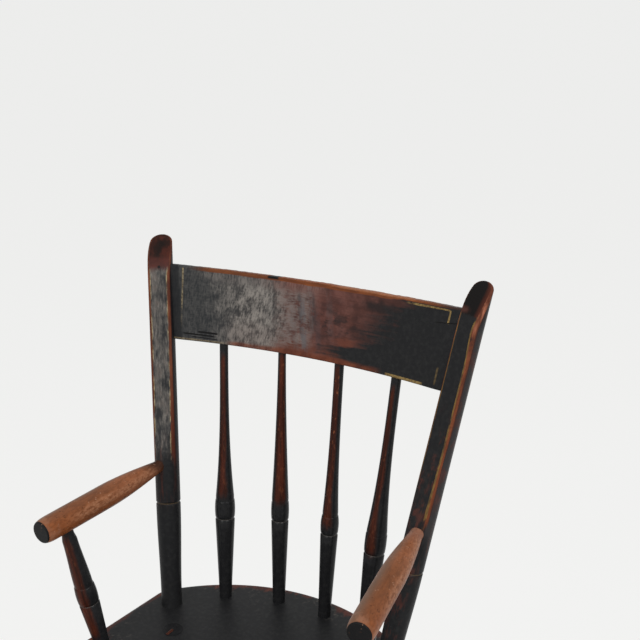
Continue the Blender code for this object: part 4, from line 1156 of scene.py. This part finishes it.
def fit_ring(ring, matrix, proud):
    """Moves a ring along its piece's axis to a little proud of the seat's top, or else to the floor."""
    turn = np.array(matrix.to_3x3())
    start = np.array(matrix.translation)
    for _ in range(FIT_PASSES):
        x, y, z = (ring @ turn.T + start).T
        height = 0 if proud is None else seat_top(x, y) + proud
        ring[:, 2] += (height - z) / turn[2, 2]


def leg_frame(front, side):
    """The name of a leg's node, the matrix along the leg and its length."""
    foot, top = leg_ends(front, side)
    node = f"{'front' if front else 'rear'}_{SIDE_NAMES[side]}_leg"
    return node, axis_frame(foot, top), (top - foot).length


def make_leg(front, side, paint):
    node, matrix, length = leg_frame(front, side)
    profile = leg_profile(length)
    rings = turned_rings(profile, 2 * front + side)
    fit_ring(rings[0], matrix, None)
    fit_ring(rings[-1], matrix, PROUD)
    skin(node, rings, matrix, paint, turning_values(profile))


def make_wedge(front, side, paint):
    """The end of the wedge, across the tenon and a little proud of it."""
    node, matrix, length = leg_frame(front, side)
    half_width, half_span = WEDGE_THICKNESS / 2, LEG_TENON_DIAMETER / 2 - PROUD
    corners = [(i * half_width, j * half_span, half_width / 3) for i, j in CORNERS]
    loop = np.array(filleted(corners, steps=4))
    rings = []
    for share, height in ((1, length - SEAT_THICKNESS / 2), (1, length), (WEDGE_SOFT_SHARE, length)):
        rings.append(np.column_stack([loop * (share, 1), np.full(len(loop), height)]))
    fit_ring(rings[1], matrix, 1.5 * PROUD)
    fit_ring(rings[2], matrix, 2 * PROUD)
    skin(node + "_wedge", rings, matrix, paint, {"swelling": 0.0, "groove": 0.0})


def make_rungs(paint):
    """The stretchers and the footrest's rung, each between two legs."""
    for node, first, second, height, profile_of, seed in (
        ("left_side_stretcher", (True, LEFT), (False, LEFT), SIDE_STRETCHER_HEIGHT, stretcher_profile, -1),
        ("right_side_stretcher", (True, RIGHT), (False, RIGHT), SIDE_STRETCHER_HEIGHT, stretcher_profile, 1),
        ("front_stretcher", (True, LEFT), (True, RIGHT), FRONT_STRETCHER_HEIGHT, stretcher_profile, 4),
        ("rear_stretcher", (False, LEFT), (False, RIGHT), REAR_STRETCHER_HEIGHT, stretcher_profile, 3),
        ("footrest_rung", (True, LEFT), (True, RIGHT), FOOTREST_RUNG_HEIGHT, rung_profile, 5),
    ):
        start, end = leg_at(*first, height), leg_at(*second, height)
        turned(node, profile_of((end - start).length), axis_frame(start, end), paint, seed)


def make_seat(paint):
    corners = []
    for step in range(SEAT_BACK_POINTS + 1):
        x, y = seat_back_point(SEAT_BACK_ANGLE * (1 - 2 * step / SEAT_BACK_POINTS))
        corners.append((x, y, SEAT_BACK_CORNER if step in (0, SEAT_BACK_POINTS) else 0))
    front = SEAT_FRONT_BOW - SEAT_FRONT_REACH
    corners.append((-SEAT_FRONT_WIDTH / 2, front, SEAT_FRONT_CORNER))
    corners.append((0, -SEAT_FRONT_REACH, SEAT_FRONT_WIDTH))
    corners.append((SEAT_FRONT_WIDTH / 2, front, SEAT_FRONT_CORNER))
    outline = even_outline(filleted(corners))
    middle = np.array((0, POST_LINE - DISH_FROM_POSTS / 2))
    rings, nearness = board_rings(outline, SEAT_HEIGHT - SEAT_THICKNESS, seat_top, SEAT_EDGE, middle)
    x, y, z = np.moveaxis(rings, -1, 0)
    on_top = z > SEAT_HEIGHT - SEAT_THICKNESS / 2
    sat_on = np.clip(SAT_ON_SIZE - dish_share(x, y + SAT_ON_AHEAD), 0, 1) * on_top
    front_rub = np.clip((-y - FRONT_RUB_FROM) / FRONT_RUB_REACH, 0, 1) * on_top
    values = {"use": np.maximum(SAT_ON_WEAR * sat_on, FRONT_RUB_WEAR * front_rub), "edge": nearness}
    skin("seat", rings, Matrix.Identity(4), paint, values)


def make_footrest(paint):
    """The board, whose rear corners are cut round the front legs."""
    leg = leg_at(True, RIGHT, FOOTREST_HEIGHT - FOOTREST_THICKNESS / 2)
    half = leg.x + FOOTREST_PAST_LEG
    back = leg_at(True, RIGHT, FOOTREST_RUNG_HEIGHT).y + FOOTREST_BEHIND_RUNG
    front = back - FOOTREST_DEPTH
    notch = LEG_DIAMETER / 2 + FOOTREST_NOTCH_SPACE
    meets_back = leg.x - math.sqrt(notch**2 - (back - leg.y) ** 2)
    meets_side = leg.y - math.sqrt(notch**2 - FOOTREST_PAST_LEG**2)
    first = math.atan2(meets_side - leg.y, half - leg.x)
    last = math.atan2(back - leg.y, meets_back - leg.x)
    angles = np.linspace(first, last - 2 * math.pi, NOTCH_POINTS)
    right = [(leg.x + notch * math.cos(a), leg.y + notch * math.sin(a)) for a in angles]
    left = [(-x, y) for x, y in reversed(right)]
    corners = [(half, back, 0), (-half, back, 0)]
    corners += [(-half, front, FOOTREST_CORNER), (half, front, FOOTREST_CORNER)]
    outline = even_outline(right + left + filleted(corners)[2:])
    low = FOOTREST_HEIGHT - FOOTREST_THICKNESS
    middle = np.array((0, (front + leg.y - notch) / 2))

    def level(x, y):
        return np.full_like(x, FOOTREST_HEIGHT)

    rings, nearness = board_rings(outline, low, level, FOOTREST_EDGE, middle)
    x, y, z = np.moveaxis(rings, -1, 0)
    trodden = np.exp(-((x / FOOTREST_TREAD) ** 2)) * np.clip((back - y) / FOOTREST_DEPTH, 0, 1)
    values = {"use": trodden * (z > low + FOOTREST_THICKNESS / 2), "edge": nearness}
    skin("footrest", rings, Matrix.Identity(4), paint, values)


def make_nails(iron):
    radius = NAIL_HEAD_DIAMETER / 2
    profile = [(radius * NAIL_SHANK_SHARE, -NAIL_HEAD_THICKNESS), (radius, 0)]
    profile += [(radius * math.sqrt(1 - share**2), NAIL_HEAD_THICKNESS * share) for share in NAIL_DOME]
    y = leg_at(True, RIGHT, FOOTREST_RUNG_HEIGHT).y
    for side in (LEFT, RIGHT):
        place = Matrix.Translation((side * FOOTREST_NAIL_SPACING / 2, y, FOOTREST_HEIGHT))
        turned(SIDE_NAMES[side] + "_footrest_nail", profile, place, iron)


def post_radius(heights, side):
    """The turned radius of a post at heights along it."""
    full, ring = POST_DIAMETER / 2, POST_RING * POST_SCALE
    profile = [(POST_FOOT_DIAMETER / 2, -BURIED), (POST_FOOT_DIAMETER / 2, 2 * RING_WIDTH)]
    swell(profile, full, ring - RING_WIDTH)
    score(profile, full, ring)
    profile.append((full * POST_TOP_SHARES[side], THUMB_START * POST_SCALE))
    radii, places = np.array(profile).T
    radius = np.interp(heights, places, radii)
    tip = np.clip((heights - THUMB_TOP * POST_SCALE + THUMB_ROUND) / THUMB_ROUND, 0, 1)
    return radius * np.sqrt(1 - tip**2)


def flat_depth(heights):
    """How far in front of a post's axis its flat lies; behind the axis it is below zero."""
    height = heights * math.cos(POST_SPLAY)
    full = POST_DIAMETER / 2
    scoop = np.clip((FLAT_FULL - height) / (FLAT_FULL - FLAT_START), 0, 2)
    thumb = np.clip((height - THUMB_START) / (THUMB_TOP - THUMB_START), 0, 1)
    return FLAT_OFFSET + (full - FLAT_OFFSET) * scoop**FLAT_POWER - THUMB_CURVE * thumb**THUMB_POWER


def post_heights(side):
    """Where a post's rings lie along it, up to where its thumb is cut off."""
    ring = POST_RING * POST_SCALE
    fine = np.linspace(THUMB_START, THUMB_TOP, POST_SEARCH_POINTS) * POST_SCALE
    thickness = post_radius(fine, side) + flat_depth(fine)
    top = fine[np.argmax(thickness < THUMB_THINNEST)]
    groove = ring + RING_WIDTH * np.linspace(-0.75, 0.75, POST_GROOVE_POINTS)
    even = np.arange(-BURIED, top - THUMB_ROUND, POST_STATION)
    even = even[np.abs(even - ring) > RING_WIDTH]
    rounded = top - THUMB_ROUND * (1 - np.sin(np.linspace(0, math.pi / 2, POST_TIP_POINTS)))
    return np.sort(np.concatenate([even, groove, rounded]))


def make_post(side):
    """A turning cut by its flat, as sections round a point inside each section."""
    foot = Vector((side * post_x(0), 0, 0))
    tip = Vector((side * post_x(THUMB_TOP), 0, THUMB_TOP))
    turn = crest_end_turn()
    matrix = back_matrix() @ axis_frame(foot, tip, Vector((side * math.sin(turn), math.cos(turn), 0)))
    heights = post_heights(side)
    radius = post_radius(heights, side)[:, None]
    flat = flat_depth(heights)[:, None]
    centre = np.clip((radius - flat) / 2, 0, None)
    angle = np.linspace(0, 2 * math.pi, POST_AROUND, endpoint=False)[None, :] - math.pi / 2
    across, forward = np.cos(angle), -np.sin(angle)
    # The limits keep the reaches above zero where the thumb ends and beside the flat.
    to_round = centre * forward + np.sqrt(np.clip(radius**2 - (centre * across) ** 2, 1e-12, None))
    to_flat = (centre + flat) / np.clip(forward, 0.02, None)
    reach = (to_round**-SOFT_CORNER + to_flat**-SOFT_CORNER) ** (-1 / SOFT_CORNER)
    x, y = reach * across, centre - reach * forward
    z = np.broadcast_to(heights[:, None], x.shape)
    painted = np.minimum(flat, FLAT_OFFSET)  # the paint's border runs on straight where the flat ends
    half = np.sqrt(np.clip(radius**2 - painted**2, 0, None))
    swing = np.arctan2(np.abs(x), -y) - np.arctan2(half, painted)
    inside = (to_flat < to_round) | (swing < 0)
    edge = np.where(inside, np.maximum(half - np.abs(x), 0), -radius * np.abs(swing))
    marks = np.exp(-(((heights - POST_RING * POST_SCALE) / (RING_WIDTH / 4)) ** 2))[:, None]
    values = {"flat_edge": edge, "outer": (side * x > 0).astype(float), "groove": marks}
    rings = np.stack([x, y, z], axis=-1)
    skin(SIDE_NAMES[side] + "_back_post", rings, matrix, post_material(side), values)


def crest_section(low, high):
    """Points round the crest, from the top of its front down.

    For each, the push back at the rounded edges, the share of the depth, the height, and 1 on the front.
    """
    turns = np.linspace(0, math.pi / 2, ROUND_POINTS)
    leaving, nearing = CREST_EDGE * (1 - np.cos(turns)), CREST_EDGE * (1 - np.sin(turns))
    parts = (
        (0, 0, np.linspace(high - CREST_EDGE, low + CREST_EDGE, CREST_FRONT_POINTS), 1),
        (leaving[1:], 0, low + nearing[1:], 1),
        (0, CREST_UNDER_SHARES, low, 0),
        (-nearing, 1, low + leaving, 0),
        (0, 1, np.linspace(low + CREST_EDGE, high - CREST_EDGE, CREST_BACK_POINTS)[1:], 0),
        (-leaving[1:], 1, high - nearing[1:], 0),
        (0, CREST_OVER_SHARES, high, 0),
        (nearing[:-1], 0, high - leaving[:-1], 1),
    )
    return np.concatenate([np.stack(np.broadcast_arrays(*part)) for part in parts], axis=1)


def make_crest():
    front, back = crest_faces()
    stations = int(2 * post_x(CREST_TOP) / CREST_STATION)
    rows = []
    for station in np.linspace(-1, 1, stations):
        middle_x = station * post_x(CREST_MIDDLE)
        lip = sum(rise * noise.noise((middle_x * pace, *place)) for rise, pace, place in CREST_LIP)
        worn_end = np.clip((CREST_WORN_FROM - middle_x) / (CREST_WORN_FROM + post_x(CREST_TOP)), 0, 1)
        high = CREST_TOP + lip - CREST_WORN_END * worn_end**CREST_WORN_POWER
        low = crest_bottom(middle_x)
        push, share, z, is_front = crest_section(low, high)
        x = station * (post_x(z) - CREST_HIDDEN_END)
        near, far = arc_y(front, x), arc_y(back, x)
        face = POST_DIAMETER / 2 * POST_TOP_SHARES[LEFT if station < 0 else RIGHT] - CREST_TUCK_INSIDE
        into_post = np.clip((face - post_x(z) + np.abs(x)) / (face - CREST_HIDDEN_END), 0, 1)
        eased = np.clip((CREST_EASE_FROM - post_x(z) + np.abs(x)) / (CREST_EASE_FROM - face), 0, 1) ** 2
        tucked = (CREST_EASE * eased + CREST_TUCK * into_post) * (1 - share)
        y = near + (far - near) * share + push + tucked
        rows.append((x, y, z, z - low, high - z, is_front, share, post_x(z) - np.abs(x)))
    rows = np.array(rows)
    values = {}
    for index, name in enumerate(("low", "high", "front", "depth", "from_post")):
        values[name] = rows[:, 3 + index]
    rings = np.moveaxis(rows[:, :3], 1, -1)
    skin("crest_rail", rings, back_matrix(), crest_material(), values)


def make_crest_pins(paint):
    radius = CREST_PIN_DIAMETER / 2
    profile = [(radius, -BURIED)] + [(radius * share, rise * PROUD) for share, rise in CREST_PIN_DOME]
    surface = math.sqrt((POST_DIAMETER / 2) ** 2 - CREST_PIN_INSET**2)
    for side in (LEFT, RIGHT):
        outer = Vector((side * (post_x(CREST_MIDDLE) - CREST_PIN_INSET), surface, CREST_MIDDLE))
        matrix = back_matrix() @ axis_frame(outer, outer + Vector((0, 1, 0)))
        turned(SIDE_NAMES[side] + "_crest_pin", profile, matrix, paint)


def make_spindles():
    for index, (turning, look) in enumerate(zip(SPINDLE_TURNINGS, SPINDLE_LOOKS)):
        node = f"spindle_{index + 1}"
        foot, top = spindle_axis(index - (len(SPINDLE_TURNINGS) - 1) / 2)
        paint = turning_material(node + "_old_paint", *look)
        profile = spindle_profile((top - foot).length, turning)
        turned(node, profile, axis_frame(foot, top), paint, 1.7 * index)


def make_arms(support_paint):
    profile = arm_profile()
    heights = np.array([height for radius, height in profile])
    values = {"end_face": (heights > ARM_LENGTH - ARM_END_PAINT).astype(float)[:, None]}
    for side in (LEFT, RIGHT):
        name = SIDE_NAMES[side] + "_arm"
        rings = turned_rings(profile, 3 * side)
        skin(name, rings, axis_frame(*arm_axis(side)), arm_material(side), values)
        foot, top = support_axis(side)
        support = support_profile((top - foot).length)
        turned(name + "_support", support, axis_frame(foot, top), support_paint, 4 + side)


def make_chair():
    leg_paint = turning_material("leg_old_paint", 0, 40, 0.02, 0.50, 0.8)
    rung_paint = turning_material("rung_old_paint", 0, 60, 0.05, 0.26, 0.9)
    pin_paint = turning_material("pin_old_paint", 0, 80, -0.01, 0.6, 0.9)
    make_seat(board_material("seat_old_paint", (210, 16, 210)))
    for front in (True, False):
        for side in (LEFT, RIGHT):
            make_leg(front, side, leg_paint)
            make_wedge(front, side, pin_paint)
    make_rungs(rung_paint)
    make_footrest(board_material("footrest_old_paint", (16, 210, 210)))
    make_nails(iron_material())
    for side in (LEFT, RIGHT):
        make_post(side)
    make_crest()
    make_crest_pins(pin_paint)
    make_spindles()
    make_arms(turning_material("support_old_paint", 0, 50, 0.02, 0.12, 0.8))


# Studio

PALE = (0.87, 0.87, 0.86, 1.0)
GLOW = (1.0, 1.0, 0.985, 1.0)  # of the floor, for the share that the camera sees unlit
GLOW_SHARE = 0.78
FLOOR_REACH = 90.0
FLOOR_ROUGHNESS = 0.9
HORIZON = (0.843, 0.847, 0.836, 1.0)  # of the world, as the floor looks far away
FILL = (0.80, 0.82, 0.86, 1.0)  # of the world, for light
FILL_STRENGTH = 0.42
AIM = Vector((0, 0.12, 0.72))
# Lamps: azimuth and elevation in degrees, distance, size, power
LAMPS = {
    "front_lamp": (-4, 26, 2.2, 1.1, 17),
    "right_lamp": (64, 32, 2.2, 0.9, 12),
    "top_lamp": (180, 78, 2.0, 1.6, 10),
}


def make_camera():
    camera = add_object("camera", bpy.data.cameras.new("camera"))
    camera.location = CAMERA_PLACE
    camera.rotation_euler = (math.pi / 2 - CAMERA_DOWN, 0, CAMERA_TURN)
    camera.data.lens = CAMERA_LENS
    camera.data.sensor_width = CAMERA_SENSOR
    bpy.context.scene.camera = camera


def make_lamp(name, azimuth, elevation, distance, size, power):
    """A square soft lamp, placed round the chair and turned to it."""
    data = bpy.data.lights.new(name, "AREA")
    data.size = size
    data.energy = power
    lamp = add_object(name, data)
    turn, rise = math.radians(azimuth), math.radians(elevation)
    away = Vector((math.sin(turn) * math.cos(rise), -math.cos(turn) * math.cos(rise), math.sin(rise)))
    lamp.location = AIM + distance * away
    lamp.rotation_euler = away.to_track_quat("Z", "Y").to_euler()


def seen_directly(tree):
    """1 for rays from the camera and for mirrored and refracted ones, 0 for those that only light."""
    path = tree.nodes.new("ShaderNodeLightPath")
    names = ("Is Camera Ray", "Is Glossy Ray", "Is Transmission Ray")
    camera, glossy, transmission = (Signal(path.outputs[name]) for name in names)
    return camera | glossy | transmission


def set_surface(output, share, first, second):
    """Puts a mix of two shaders on an output node."""
    mixed = add_node("ShaderNodeMixShader", {0: share, 1: first, 2: second})
    output.id_data.links.new(mixed.socket, output.inputs["Surface"])


def make_floor():
    mesh = bpy.data.meshes.new("floor")
    mesh.from_pydata([(i * FLOOR_REACH, j * FLOOR_REACH, 0) for i, j in CORNERS], [], [(0, 1, 2, 3)])
    floor = add_object("floor", mesh)
    material = bpy.data.materials.new("floor_pale")
    material.use_nodes = True
    tree = material.node_tree
    shader = tree.nodes["Principled BSDF"]
    for name, value in (("Base Color", PALE), ("Roughness", FLOOR_ROUGHNESS), ("Specular IOR Level", 0.0)):
        shader.inputs[name].default_value = value
    glow = add_node("ShaderNodeEmission", {"Color": GLOW}, tree)
    share = seen_directly(tree) * GLOW_SHARE
    set_surface(tree.nodes["Material Output"], share, Signal(shader.outputs[0]), glow)
    mesh.materials.append(material)


def make_world():
    world = bpy.data.worlds.new("studio")
    bpy.context.scene.world = world
    world.use_nodes = True
    tree = world.node_tree
    fill = tree.nodes["Background"]
    fill.inputs["Color"].default_value = FILL
    fill.inputs["Strength"].default_value = FILL_STRENGTH
    pale = add_node("ShaderNodeBackground", {"Color": HORIZON}, tree)
    set_surface(tree.nodes["World Output"], seen_directly(tree), Signal(fill.outputs[0]), pale)


def make_studio():
    bpy.context.scene.view_settings.view_transform = "Standard"
    make_camera()
    make_floor()
    make_world()
    for name, settings in LAMPS.items():
        make_lamp(name, *settings)


make_chair()
make_studio()
